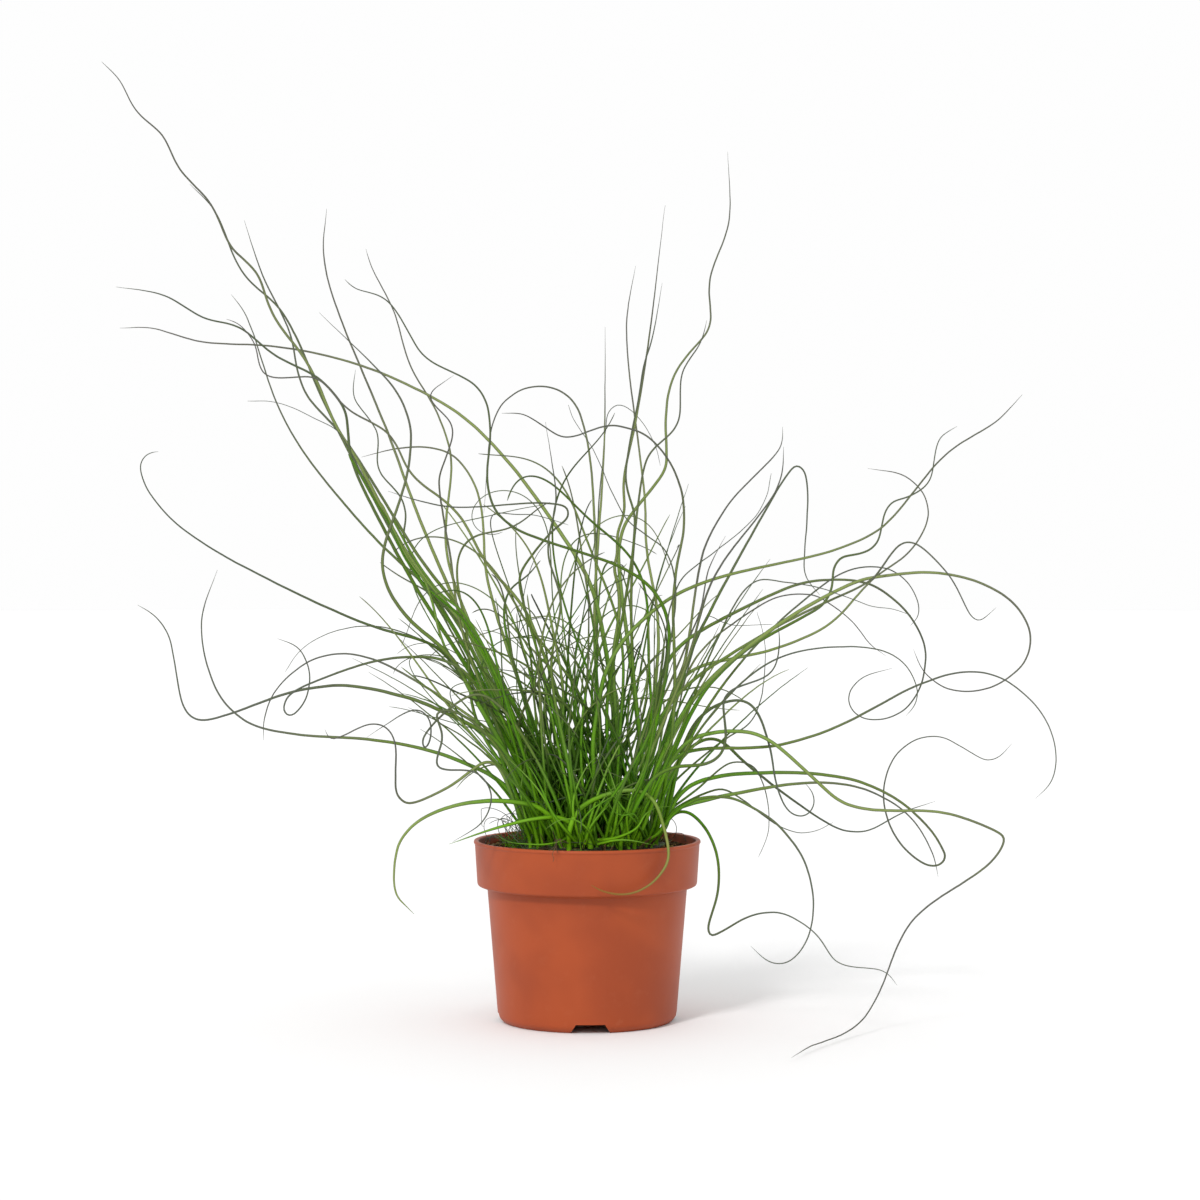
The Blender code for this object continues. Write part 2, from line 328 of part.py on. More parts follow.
# Thin ones, fused to the crown like the inner stems
FINE_STEMS = [
    (2.0, [(2, 93, 34), (5, 150), (5, 200), (5, 250), (6.3, 275, 66), (8.3, 296), (9.5, 311),
           (11.3, 321), (16, 324.8), (21.5, 323.2), (27, 318.3), (32, 311.5), (36.5, 302), (38.5, 293, 84)]),
    (1.8, [(10, 93, -33), (30, 130), (38, 180), (45, 222, -66), (51, 234.5), (59, 241.5), (70, 249.5),
           (82, 259.5), (90, 268), (95, 278), (97, 289, -96)]),
    (2.0, [(-32, 93, 16), (-46, 140), (-60, 176), (-76, 195, 44), (-91, 202.5), (-107, 207.7),
           (-122, 208), (-137, 204.3), (-147, 199), (-154, 192.5), (-159.5, 184, 64)]),
    (1.8, [(22, 93, 21), (42, 140), (53, 185), (60, 207), (64, 213.7, 54), (70, 211), (78, 208.7),
           (88, 208.9), (98, 209.3, 66)]),
    (1.8, [(22, 93, -29), (48, 150), (68, 200), (82, 226, -70), (91, 232.7), (104, 231.5), (120, 229.3),
           (135, 224.3), (150, 219), (162, 217.2), (171, 214, -100)]),
    (1.8, [(-4, 93, -35), (32, 150), (44, 200), (46.5, 232, -84), (41, 248.5), (31, 256.5),
           (21.5, 264), (13.5, 278), (8, 291), (2.5, 302.5), (-3.5, 311.5), (-8, 319), (-10, 325, -100)]),
    (1.8, [(17, 93, 26), (28, 108), (48, 128), (72, 148, 66), (86, 157.5), (91.5, 169), (93.5, 183), (94, 196),
           (92.5, 206), (89.5, 216, 84)]),
    (1.8, [(-24, 93, 26), (-44, 145), (-66, 195), (-92, 240), (-114, 278, -20), (-125, 301),
           (-132, 311.5), (-142, 317), (-153, 322.5), (-165, 326.5), (-179, 327, -44)]),
    (1.8, [(27, 93, 12), (38, 106), (58, 122), (76, 136), (87, 134.5, 30), (93, 125), (96, 111), (95.5, 98),
           (90.5, 86, 44)]),
    (1.8, [(29, 93, -3), (39, 106), (56, 117), (71, 122, -14), (82, 116.5), (92, 109), (103, 101.8), (113, 99),
           (122, 100.5), (130, 104.5, -30)]),
]

STEMS = LEFT_TALL + LEFT_LOW + UPRIGHT + RIGHT_HIGH + RIGHT_LOW


def clear_scene():
    for old in list(bpy.data.objects):
        bpy.data.objects.remove(old, do_unlink=True)


def material(name, colour, roughness):
    made = bpy.data.materials.new(name)
    made.use_nodes = True
    shader = made.node_tree.nodes["Principled BSDF"]
    shader.inputs["Base Color"].default_value = (*colour, 1.0)
    shader.inputs["Roughness"].default_value = roughness
    shader.inputs["Metallic"].default_value = 0.0
    return made


def finish(mesh, name, surface, smooth=False):
    """Turn a bmesh in millimetres into a named object in metres, with its faces pointing out."""
    bmesh.ops.recalc_face_normals(mesh, faces=mesh.faces)
    bmesh.ops.scale(mesh, vec=(1 / METRE,) * 3, verts=mesh.verts)
    data = bpy.data.meshes.new(name)
    mesh.to_mesh(data)
    mesh.free()
    data.materials.append(surface)
    if smooth:
        data.shade_smooth()
        data.set_sharp_from_angle(angle=math.radians(35))
    made = bpy.data.objects.new(name, data)
    bpy.context.collection.objects.link(made)
    return made


def turned(profile, turns):
    """A closed body of revolution: profile is (radius, height) from the axis round to the axis."""
    mesh = bmesh.new()
    rings = []
    for radius, height in profile:
        if radius == 0:
            rings.append([mesh.verts.new((0, 0, height))])
            continue
        rings.append([
            mesh.verts.new((radius * math.cos(math.tau * i / turns),
                            radius * math.sin(math.tau * i / turns), height))
            for i in range(turns)
        ])
    for low, high in zip(rings, rings[1:]):
        for i in range(turns):
            j = (i + 1) % turns
            corners = [low[i % len(low)], low[j % len(low)], high[j % len(high)], high[i % len(high)]]
            mesh.faces.new(list(dict.fromkeys(corners)))
    return mesh


def cut(target, tool):
    tool.hide_render = True
    tool.display_type = "WIRE"
    modifier = target.modifiers.new(tool.name, "BOOLEAN")
    modifier.operation = "DIFFERENCE"
    modifier.object = tool


def body_radius(height):
    """Outer radius of the tapered body at a height."""
    share = height / (POT_HEIGHT - COLLAR_HEIGHT)
    return BODY_FOOT_RADIUS + (BODY_TOP_RADIUS - BODY_FOOT_RADIUS) * share


def collar_radius(height):
    """Outer radius of the collar at a height."""
    share = (POT_HEIGHT - height) / COLLAR_HEIGHT
    return RIM_RADIUS - 0.5 - (RIM_RADIUS - 0.5 - COLLAR_FOOT_RADIUS) * share


def pot(surface):
    collar_foot = POT_HEIGHT - COLLAR_HEIGHT
    floor_top = FLOOR_HEIGHT + WALL
    profile = [
        (0, 0),
        (PAD_RADIUS, 0),
        (PAD_RADIUS + 0.8, FLOOR_HEIGHT),
        (FOOT_RING_INNER_RADIUS - 0.6, FLOOR_HEIGHT),
        (FOOT_RING_INNER_RADIUS, 0),
        (BODY_FOOT_RADIUS - 2.4, 0),
        (BODY_FOOT_RADIUS - 0.5, 1.1),
        (body_radius(3.2), 3.2),
        (body_radius(collar_foot), collar_foot),
        (COLLAR_FOOT_RADIUS - 1.6, collar_foot),
        (COLLAR_FOOT_RADIUS, collar_foot + 1.6),
        (collar_radius(POT_HEIGHT - 2.0), POT_HEIGHT - 2.0),
        (RIM_RADIUS, POT_HEIGHT - 1.3),
        (RIM_RADIUS - 0.4, POT_HEIGHT),
        (RIM_RADIUS - 2.6, POT_HEIGHT),
        (collar_radius(collar_foot) - WALL - 0.3, collar_foot + 1.2),
        (body_radius(collar_foot) - WALL, collar_foot - 1.6),
        (body_radius(floor_top) - WALL, floor_top),
        (0, floor_top),
    ]
    made = finish(turned(profile, TURNS), "pot", surface, smooth=True)
    for i in range(NOTCHES):
        notch(made, i, NOTCH_TURN + math.tau * i / NOTCHES - math.pi / 2)
        drain(made, i, math.tau * (i + 0.5) / NOTCHES)
    return made


def notch(target, number, angle):
    """Cut a slanted-sided gap through the foot ring, under the floor."""
    inner, outer = FOOT_RING_INNER_RADIUS - 3.0, BODY_FOOT_RADIUS + 4.0
    outline = [(-NOTCH_FOOT_WIDTH / 2 - 0.6, -1.0), (NOTCH_FOOT_WIDTH / 2 + 0.6, -1.0),
               (NOTCH_TOP_WIDTH / 2, FLOOR_HEIGHT - 0.1), (-NOTCH_TOP_WIDTH / 2, FLOOR_HEIGHT - 0.1)]
    mesh = bmesh.new()
    near = [mesh.verts.new((inner, across, height)) for across, height in outline]
    far = [mesh.verts.new((outer, across, height)) for across, height in outline]
    mesh.faces.new(near)
    mesh.faces.new(far)
    for i in range(4):
        mesh.faces.new((near[i], near[i - 1], far[i - 1], far[i]))
    bmesh.ops.rotate(mesh, cent=(0, 0, 0), matrix=Matrix.Rotation(angle, 3, "Z"), verts=mesh.verts)
    cut(target, finish(mesh, f"notch_cutter_{number + 1}", target.data.materials[0]))


def drain(target, number, angle):
    """Cut a round hole through the floor."""
    mesh = bmesh.new()
    bmesh.ops.create_cone(mesh, cap_ends=True, segments=12, radius1=DRAIN_RADIUS,
                          radius2=DRAIN_RADIUS, depth=4 * WALL)
    centre = Vector((DRAIN_CIRCLE * math.cos(angle), DRAIN_CIRCLE * math.sin(angle),
                     FLOOR_HEIGHT + WALL / 2))
    bmesh.ops.translate(mesh, vec=centre, verts=mesh.verts)
    cut(target, finish(mesh, f"drain_cutter_{number + 1}", target.data.materials[0]))


def soil(surface):
    """Fill the pot to just under its rim, a gap inside the wall."""
    collar_foot = POT_HEIGHT - COLLAR_HEIGHT
    floor_top = FLOOR_HEIGHT + WALL
    clear = WALL + GAP
    profile = [
        (0, floor_top + GAP),
        (body_radius(floor_top) - clear - 0.3, floor_top + GAP),
        (body_radius(collar_foot) - clear - 0.4, collar_foot - 1.5),
        (collar_radius(collar_foot) - clear - 0.7, collar_foot + 1.3),
        (collar_radius(SOIL_TOP) - clear - 1.6, SOIL_TOP - 0.7),
        (CROWN_RADIUS + 3.0, SOIL_TOP),
        (0, SOIL_TOP),
    ]
    return finish(turned(profile, SOIL_TURNS), "soil", surface, smooth=True)


def in_space(x, z, y):
    """The point at depth y that the eye sees at (x, z) on the middle plane."""
    share = (EYE_DISTANCE + y) / EYE_DISTANCE
    return x * share, y, EYE_HEIGHT + (z - EYE_HEIGHT) * share


def catmull_rom(points, spacing):
    """Points close together on the smooth curve through these ones, and the place of each one."""
    points = np.asarray(points, float)
    padded = np.vstack([2 * points[0] - points[1], points, 2 * points[-1] - points[-2]])
    curve, places = [], []
    for i in range(len(points) - 1):
        a, b, c, d = padded[i:i + 4]
        knots = np.cumsum([0] + [max(np.linalg.norm(q - p), 1e-6) ** 0.5
                                 for p, q in ((a, b), (b, c), (c, d))])
        count = max(2, int(np.linalg.norm(c - b) / spacing))
        places.append(len(curve))
        for t in np.linspace(knots[1], knots[2], count, endpoint=False):
            ab = a + (b - a) * (t - knots[0]) / (knots[1] - knots[0])
            bc = b + (c - b) * (t - knots[1]) / (knots[2] - knots[1])
            cd = c + (d - c) * (t - knots[2]) / (knots[3] - knots[2])
            abc = ab + (bc - ab) * (t - knots[0]) / (knots[2] - knots[0])
            bcd = bc + (cd - bc) * (t - knots[1]) / (knots[3] - knots[1])
            curve.append(abc + (bcd - abc) * (t - knots[1]) / (knots[2] - knots[1]))
    places.append(len(curve))
    curve.append(points[-1])
    return np.array(curve), places


def lengths_along(curve):
    return np.concatenate([[0], np.cumsum(np.linalg.norm(np.diff(curve, axis=0), axis=1))])


def traced(route, foot):
    """A stem's smooth centreline in space, from its drawn route, with its foot at this height."""
    seen, places = catmull_rom([point[:2] for point in route], 2.0)
    along = lengths_along(seen)
    known = [(along[place], point[2]) for place, point in zip(places, route) if len(point) == 3]
    depth, _ = catmull_rom(known, 2.0)
    y = np.interp(along, depth[:, 0], depth[:, 1])
    line = np.array([in_space(u, v, w) for (u, v), w in zip(seen, y)])
    line[0, 2] = foot
    return line[(line[:, 2] > foot + 1.0) | (along > CLEAR_OF_CROWN) | (along == 0)]


def inner(number, chance):
    """A short inner stem's centreline: it leans out from the crown and curls."""
    turn = number * math.pi * (3 - math.sqrt(5))
    share = math.sqrt((number + 0.5) / INNER_COUNT)
    out = np.array([math.cos(turn), math.sin(turn), 0])
    side = np.array([-out[1], out[0], 0])
    lean = math.radians(5 + 36 * share * chance.uniform(0.6, 1.0))
    length = chance.uniform(90, 215) * (1 - 0.25 * share)
    sway, twist = chance.uniform(-12, 12), chance.uniform(0, math.tau)
    base = out * INNER_REACH * share + np.array([2, 0, CROWN_TOP - ROOTED])
    points = []
    for t in np.linspace(0, 1, max(4, round(length / INNER_STEP))):
        bend = lean * (1 + 0.5 * t)
        wave = sway * t * math.sin(twist + 5 * t)
        points.append(base + length * t * (out * math.sin(bend) + np.array([0, 0, math.cos(bend)]))
                      + side * wave)
    return np.array(points)


def thinned(line):
    """Keep the fewest points whose straight runs stay close to the curve, closer near the crown."""
    kept = [0, len(line) - 1]
    along = lengths_along(line)
    chord = CHORD_NEAR + (CHORD_FAR - CHORD_NEAR) * along / along[-1]
    ends = [(0, len(line) - 1)]
    while ends:
        first, last = ends.pop()
        if last - first < 2:
            continue
        run = line[last] - line[first]
        middle = line[first + 1:last] - line[first]
        share = np.clip(middle @ run / (run @ run), 0, 1)
        off = np.linalg.norm(middle - share[:, None] * run, axis=1) / chord[first + 1:last]
        worst = int(np.argmax(off))
        if off[worst] > 1:
            split = first + 1 + worst
            kept.append(split)
            ends += [(first, split), (split, last)]
    return line[sorted(kept)]


def radii_along(line, base_radius):
    share = lengths_along(line)
    share /= share[-1]
    return TIP_RADIUS + (base_radius - TIP_RADIUS) * (1 - share) ** TAPER_POWER


def closest(p, q, r, s):
    """Where pairs of runs p-q and r-s come closest: the share along each, and the vector between."""
    d1, d2, gap = q - p, s - r, p - r
    a, e = np.einsum("ij,ij->i", d1, d1), np.einsum("ij,ij->i", d2, d2)
    b, c = np.einsum("ij,ij->i", d1, d2), np.einsum("ij,ij->i", d1, gap)
    f = np.einsum("ij,ij->i", d2, gap)
    t1 = np.clip((b * f - c * e) / np.maximum(a * e - b * b, 1e-9), 0, 1)
    t2 = np.clip((b * t1 + f) / e, 0, 1)
    t1 = np.clip((b * t2 - c) / a, 0, 1)
    return t1, t2, (p + t1[:, None] * d1) - (r + t2[:, None] * d2)


class Thicket:
    """All the stems' centrelines as one set of points, to find where two stems touch."""

    def __init__(self, lines, radii, fused):
        self.points = np.vstack(lines)
        self.size = np.concatenate(radii) * CORNER
        self.splits = np.cumsum([len(line) for line in lines])[:-1]
        self.owner = np.repeat(np.arange(len(lines)), [len(line) for line in lines])
        self.along = np.concatenate([lengths_along(line) for line in lines])
        self.fused = np.array(fused)[self.owner]
        self.starts = np.flatnonzero(self.owner[:-1] == self.owner[1:])
        self.bases = np.r_[0, self.splits]
        self.base_heights = self.points[self.bases, 2]

    def near_pairs(self):
        """Pairs of runs whose boxes come near: not both fused, nor close together on one stem."""
        starts, reach = self.starts, self.size[self.starts, None] + NEAR
        ends = self.points[starts], self.points[starts + 1]
        low, high = np.minimum(*ends) - reach, np.maximum(*ends) + reach
        firsts, seconds = [], []
        for i in range(len(starts) - 1):
            j = i + 1 + np.flatnonzero(np.all((low[i] <= high[i + 1:]) & (low[i + 1:] <= high[i]), axis=1))
            firsts.append(np.full(len(j), i))
            seconds.append(j)
        a, b = starts[np.concatenate(firsts)], starts[np.concatenate(seconds)]
        beside = (self.owner[a] == self.owner[b]) & (self.along[b] - self.along[a + 1] < SAME_STEM)
        wanted = ~beside & ~(self.fused[a] & self.fused[b])
        return a[wanted], b[wanted]

    def touching(self, a, b):
        """The pairs closer than the wide gap, where on each run, how much too close, and which way."""
        t1, t2, between = closest(*(self.points[k] for k in (a, a + 1, b, b + 1)))
        apart = np.linalg.norm(between, axis=1)
        size = self.size
        need = size[a] + (size[a + 1] - size[a]) * t1 + size[b] + (size[b + 1] - size[b]) * t2 + WIDE_GAP
        hit = apart < need
        between[apart < 0.05] = (0, 0.05, 0)
        way = between / np.maximum(apart, 0.05)[:, None]
        return a[hit], b[hit], t1[hit], t2[hit], (need - apart)[hit], way[hit]

    def spread(self):
        """Move stems apart, mostly along the eye's rays, until they keep the wide gap."""
        for step in range(SPREAD_STEPS):
            if step % PAIR_STEPS == 0:
                pairs = self.near_pairs()
            a, b, t1, t2, short, way = self.touching(*pairs)
            if not len(a) and step % PAIR_STEPS == 0:
                break
            push = way * np.clip(0.5 * short, 0.03, 1.5)[:, None]
            push[:, [0, 2]] *= np.where(self.fused[a] | self.fused[b], 0.5, ASIDE)[:, None]
            moved, weight = np.zeros_like(self.points), np.zeros(len(self.points))
            for place, share, side in ((a, 1 - t1, 1), (a + 1, t1, 1), (b, 1 - t2, -1), (b + 1, t2, -1)):
                np.add.at(moved, place, side * push * share[:, None])
                np.add.at(weight, place, share)
            moved /= np.maximum(weight, 1)[:, None]
            for _ in range(SOFTEN_PASSES):
                moved = self.softened(moved)
            self.points += moved
            ahead = moved[:, 1] / (EYE_DISTANCE + self.points[:, 1])
            self.points[:, 0] += self.points[:, 0] * ahead
            self.points[:, 2] += (self.points[:, 2] - EYE_HEIGHT) * ahead
            self.points[self.bases, 2] = self.base_heights
            self.gather_bases()

    def gather_bases(self):
        """Keep every stem's foot on the crown."""
        feet = self.points[self.bases, :2]
        reach = np.linalg.norm(feet, axis=1, keepdims=True)
        self.points[self.bases, :2] = feet * np.minimum(1, (CROWN_RADIUS - FOOT_INSET) / reach)

    def softened(self, moved):
        """Share each point's move with its neighbours on the same stem."""
        before, after = moved.copy(), moved.copy()
        before[self.starts + 1] = moved[self.starts]
        after[self.starts] = moved[self.starts + 1]
        return (before + 2 * moved + after) / 4

    def lines(self):
        return np.split(self.points, self.splits)


def evened(line, spacing):
    """The same line with points this far apart."""
    along = lengths_along(line)
    places = np.linspace(0, along[-1], max(3, round(along[-1] / spacing)))
    return np.column_stack([np.interp(places, along, line[:, k]) for k in range(3)])


def tube(line, radii, sides, name, surface):
    """A closed tapered tube along a centreline, its foot level and its tip a point."""
    mesh = bmesh.new()
    runs = np.diff(line, axis=0)
    runs /= np.linalg.norm(runs, axis=1)[:, None]
    across = np.array([1.0, 0.0, 0.0])
    rings = []
    for i, centre in enumerate(line[:-1]):
        way = np.array([0.0, 0.0, 1.0]) if i == 0 else runs[i - 1] + runs[i]
        way /= np.linalg.norm(way)
        across = across - (across @ way) * way
        across /= np.linalg.norm(across)
        up = np.cross(way, across)
        rings.append([])
        for k in range(sides):
            turn = math.tau * (k + 0.5) / sides
            out = math.cos(turn) * across + math.sin(turn) * up
            rings[-1].append(mesh.verts.new(centre + CORNER * radii[i] * out))
    mesh.faces.new(rings[0])
    for low, high in zip(rings, rings[1:]):
        for k in range(sides):
            mesh.faces.new((low[k - 1], low[k], high[k], high[k - 1]))
    tip = mesh.verts.new(line[-1])
    for k in range(sides):
        mesh.faces.new((rings[-1][k - 1], rings[-1][k], tip))
    return finish(mesh, name, surface)


def crown(lines, radii, surface):
    """The pad of rhizome on the soil, with the inner stems joined to it."""
    mesh = bmesh.new()
    rings = []
    for height, radius in ((SOIL_TOP + GAP, CROWN_RADIUS - 1), (CROWN_TOP, CROWN_RADIUS)):
        rings.append([])
        for i in range(CROWN_TURNS):
            turn = math.tau * i / CROWN_TURNS
            reach = radius + 0.8 * math.cos(3 * turn + 1) + 0.5 * math.sin(7 * turn)
            rings[-1].append(mesh.verts.new((reach * math.cos(turn), reach * math.sin(turn), height)))
    mesh.faces.new(rings[0])
    mesh.faces.new(rings[1])
    for i in range(CROWN_TURNS):
        mesh.faces.new((rings[0][i - 1], rings[0][i], rings[1][i], rings[1][i - 1]))
    made = finish(mesh, "crown", surface)
    sprouts = bpy.data.collections.new("sprouts")
    bpy.context.scene.collection.children.link(sprouts)
    for i, (line, radius) in enumerate(zip(lines, radii)):
        sprout = tube(line, radius, INNER_SIDES, f"sprout_{i + 1}", surface)
        bpy.context.collection.objects.unlink(sprout)
        sprouts.objects.link(sprout)
        sprout.hide_render = True
        sprout.display_type = "WIRE"
    modifier = made.modifiers.new("sprouts", "BOOLEAN")
    modifier.operation = "UNION"
    modifier.solver = "MANIFOLD"
    modifier.operand_type = "COLLECTION"
    modifier.collection = sprouts
    return made


def main():
    clear_scene()
    pot(material("terracotta plastic", POT_COLOUR, 0.45))
    soil(material("potting soil", SOIL_COLOUR, 0.95))
    chance = np.random.default_rng(INNER_SEED)
    widths = [thick / 2 for thick, _ in STEMS + FINE_STEMS]
    lines = [evened(traced(route, CROWN_TOP + GAP), RUN) for _, route in STEMS]
    lines += [evened(traced(route, CROWN_TOP - ROOTED), RUN) for _, route in FINE_STEMS]
    for i in range(INNER_COUNT):
        lines.append(evened(inner(i, chance), RUN))
        widths.append(chance.uniform(1.1, 1.45))
    fused = [i >= len(STEMS) for i in range(len(lines))]
    thicket = Thicket(lines, [radii_along(*pair) for pair in zip(lines, widths)], fused)
    thicket.spread()
    lines = [thinned(line) for line in thicket.lines()]
    radii = [radii_along(*pair) for pair in zip(lines, widths)]
    green = material("rush green", STEM_COLOUR, 0.5)
    for i in range(len(STEMS)):
        tube(lines[i], radii[i], STEM_SIDES, f"stem_{i + 1:02d}", green)
    crown(lines[len(STEMS):], radii[len(STEMS):], material("crown green", CROWN_COLOUR, 0.6))


main()
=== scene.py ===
"""The looks of a potted corkscrew rush: its finishes, fine shoots, soil and a plain studio.

Lengths are in metres unless a name ends in _mm or _MM. Z is up, -Y is the front, and the origin is
the centre of the pot's base, on the surface that it stands on.
"""

import json
import logging
import math
from dataclasses import dataclass
from enum import Enum
from typing import Any, Callable, Iterable, Mapping, Sequence, Union

import bmesh
import bpy
import numpy as np
from mathutils import Matrix, Vector, noise

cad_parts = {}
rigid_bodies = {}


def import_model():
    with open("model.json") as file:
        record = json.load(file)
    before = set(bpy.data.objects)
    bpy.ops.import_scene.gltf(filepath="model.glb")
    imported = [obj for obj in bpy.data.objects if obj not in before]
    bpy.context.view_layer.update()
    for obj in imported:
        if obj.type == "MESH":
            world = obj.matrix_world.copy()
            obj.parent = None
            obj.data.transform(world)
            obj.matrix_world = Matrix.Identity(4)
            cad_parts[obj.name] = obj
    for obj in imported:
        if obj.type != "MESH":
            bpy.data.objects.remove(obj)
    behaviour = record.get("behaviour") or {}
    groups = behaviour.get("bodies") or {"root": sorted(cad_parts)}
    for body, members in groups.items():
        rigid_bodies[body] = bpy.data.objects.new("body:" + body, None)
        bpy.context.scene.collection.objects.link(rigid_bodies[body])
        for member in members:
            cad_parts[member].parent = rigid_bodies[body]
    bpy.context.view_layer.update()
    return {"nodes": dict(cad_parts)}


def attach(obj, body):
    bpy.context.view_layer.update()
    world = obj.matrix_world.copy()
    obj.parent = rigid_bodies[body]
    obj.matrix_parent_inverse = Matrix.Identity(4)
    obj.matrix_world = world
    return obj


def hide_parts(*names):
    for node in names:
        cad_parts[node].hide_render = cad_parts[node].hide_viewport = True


LOG = logging.getLogger("rush")

MM = 0.001
CORNERS = 4  # the sides of a solid's stem
CORNER_SHARE = 1.2  # how much wider that stem is at its corners than the round one
CROWN_TOP = 96.3 * MM
SOIL_TOP = 92.0 * MM
TIP_RADIUS = 0.08 * MM
SHARP_ANGLE = math.radians(35)
EYE = (0.0, -1.583, 0.255)

Colour = tuple[float, float, float]
Number = Union[float, int, "Wire"]
Random = np.random.Generator
Range = tuple[float, float]
Route = Sequence[Sequence[float]]


class Trait(str, Enum):
    """The values that a strand's mesh carries for its material."""

    ALONG = "along"
    AROUND = "around"
    GIRTH = "girth"
    VIGOUR = "vigour"
    SHADE = "shade"
    WITHER = "wither"


class Habit(Enum):
    """How a strand grows, as four (least, most) ranges.

    They are its curvature at the foot and at the tip in radians per metre, how far the curvature
    sways about that, and how late it starts to curl.
    """

    UPRIGHT = ((2.0, 13.0), (8.0, 30.0), (0.4, 1.6), (1.0, 2.2))
    SPRIG = ((6.0, 26.0), (10.0, 58.0), (0.3, 1.6), (0.5, 1.5))
    ARCH = ((1.0, 6.0), (4.0, 22.0), (0.4, 2.2), (0.9, 2.0))
    WISP = ((2.0, 8.0), (14.0, 44.0), (0.4, 1.6), (1.0, 2.4))
    TANGLE = ((50.0, 110.0), (110.0, 260.0), (0.0, 0.7), (1.5, 2.0))
    LITTER = ((2.0, 40.0), (4.0, 60.0), (0.0, 0.7), (1.5, 2.0))


def overload(operation: str, swapped: bool = False) -> Callable[["Wire", Number], "Wire"]:
    """Make one of Wire's operators.

    Args:
        operation: The Math node's operation.
        swapped: Whether the wire stands to the right of the sign.

    Returns:
        The operator, which places that Math node.
    """
    def operator(wire: "Wire", other: Number) -> "Wire":
        """Place the node."""
        return wire.sheet.maths(operation, *((other, wire) if swapped else (wire, other)))

    return operator


class Wire:
    """A node's output, which Python's operators turn into Math nodes."""

    def __init__(self, sheet: "NodeSheet", socket: bpy.types.NodeSocket) -> None:
        """Hold the socket and the sheet that it is on."""
        self.sheet = sheet
        self.socket = socket

    __add__, __radd__ = overload("ADD"), overload("ADD", True)
    __sub__, __rsub__ = overload("SUBTRACT"), overload("SUBTRACT", True)
    __mul__, __rmul__ = overload("MULTIPLY"), overload("MULTIPLY", True)
    __pow__ = overload("POWER")

    def clipped(self) -> "Wire":
        """The value, kept from 0 to 1."""
        return self.sheet.maths("MINIMUM", self.sheet.maths("MAXIMUM", self, 0.0), 1.0)


class PlacedNode:
    """A node on a sheet, whose outputs are read by name or number."""

    def __init__(self, sheet: "NodeSheet", made: bpy.types.Node) -> None:
        """Hold the node and the sheet that it is on."""
        self.sheet = sheet
        self.made = made

    def __getitem__(self, name: Union[str, int]) -> Wire:
        """The output of this name or number."""
        return Wire(self.sheet, self.sheet.socket(self.made.outputs, name))


class NodeSheet:
    """A node tree, for a material or a shape, that is filled in through one method."""

    def __init__(self, tree: bpy.types.NodeTree) -> None:
        """Start on this tree."""
        self.tree = tree

    @staticmethod
    def socket(sockets: Iterable[bpy.types.NodeSocket],
               name: Union[str, int]) -> bpy.types.NodeSocket:
        """Find a socket.

        Args:
            sockets: A node's inputs or outputs.
            name: Its name, or its number among them.

        Returns:
            The socket of that number, or the first one in use of that name.
        """
        if isinstance(name, int):
            return list(sockets)[name]
        return next(one for one in sockets if one.name == name and one.enabled)

    def node(self, kind: str, settings: Mapping[str, Any] | None = None,
             sockets: Mapping[Union[str, int], Any] | None = None) -> PlacedNode:
        """Place a node.

        Args:
            kind: The node's type.
            settings: Its properties, which are set first. "stops" gives a colour ramp's stops.
            sockets: A value or a Wire for each input, by its name or number.

        Returns:
            The node, ready for its outputs to be read.
        """
        made = self.tree.nodes.new(kind)
        for name, value in (settings or {}).items():
            if name == "stops":
                self._set_stops(made.color_ramp, value)
            else:
                setattr(made, name, value)
        for name, value in (sockets or {}).items():
            target = self.socket(made.inputs, name)
            if isinstance(value, Wire):
                self.tree.links.new(value.socket, target)
            elif target.type == "RGBA" and len(value) == 3:
                target.default_value = (*value, 1.0)
            else:
                target.default_value = value
        return PlacedNode(self, made)

    @staticmethod
    def _set_stops(ramp: bpy.types.ColorRamp, stops: Sequence[tuple[float, Colour]]) -> None:
        """Set a colour ramp's stops.

        Args:
            ramp: The ramp.
            stops: Each stop's place, from 0 to 1, and its colour.
        """
        while len(ramp.elements) < len(stops):
            ramp.elements.new(1.0)
        for element, (place, colour) in zip(ramp.elements, stops):
            element.position = place
            element.color = (*colour, 1.0)

    def maths(self, operation: str, *values: Number) -> Wire:
        """One Math node on these values."""
        sockets = dict(enumerate(values))
        return self.node("ShaderNodeMath", {"operation": operation}, sockets)["Value"]

    def vector(self, operation: str, sockets: Mapping[Union[str, int], Any]) -> Wire:
        """One Vector Math node with these sockets."""
        return self.node("ShaderNodeVectorMath", {"operation": operation}, sockets)["Vector"]

    def parts(self, vector: Wire) -> PlacedNode:
        """A vector's X, Y and Z."""
        return self.node("ShaderNodeSeparateXYZ", {}, {"Vector": vector})


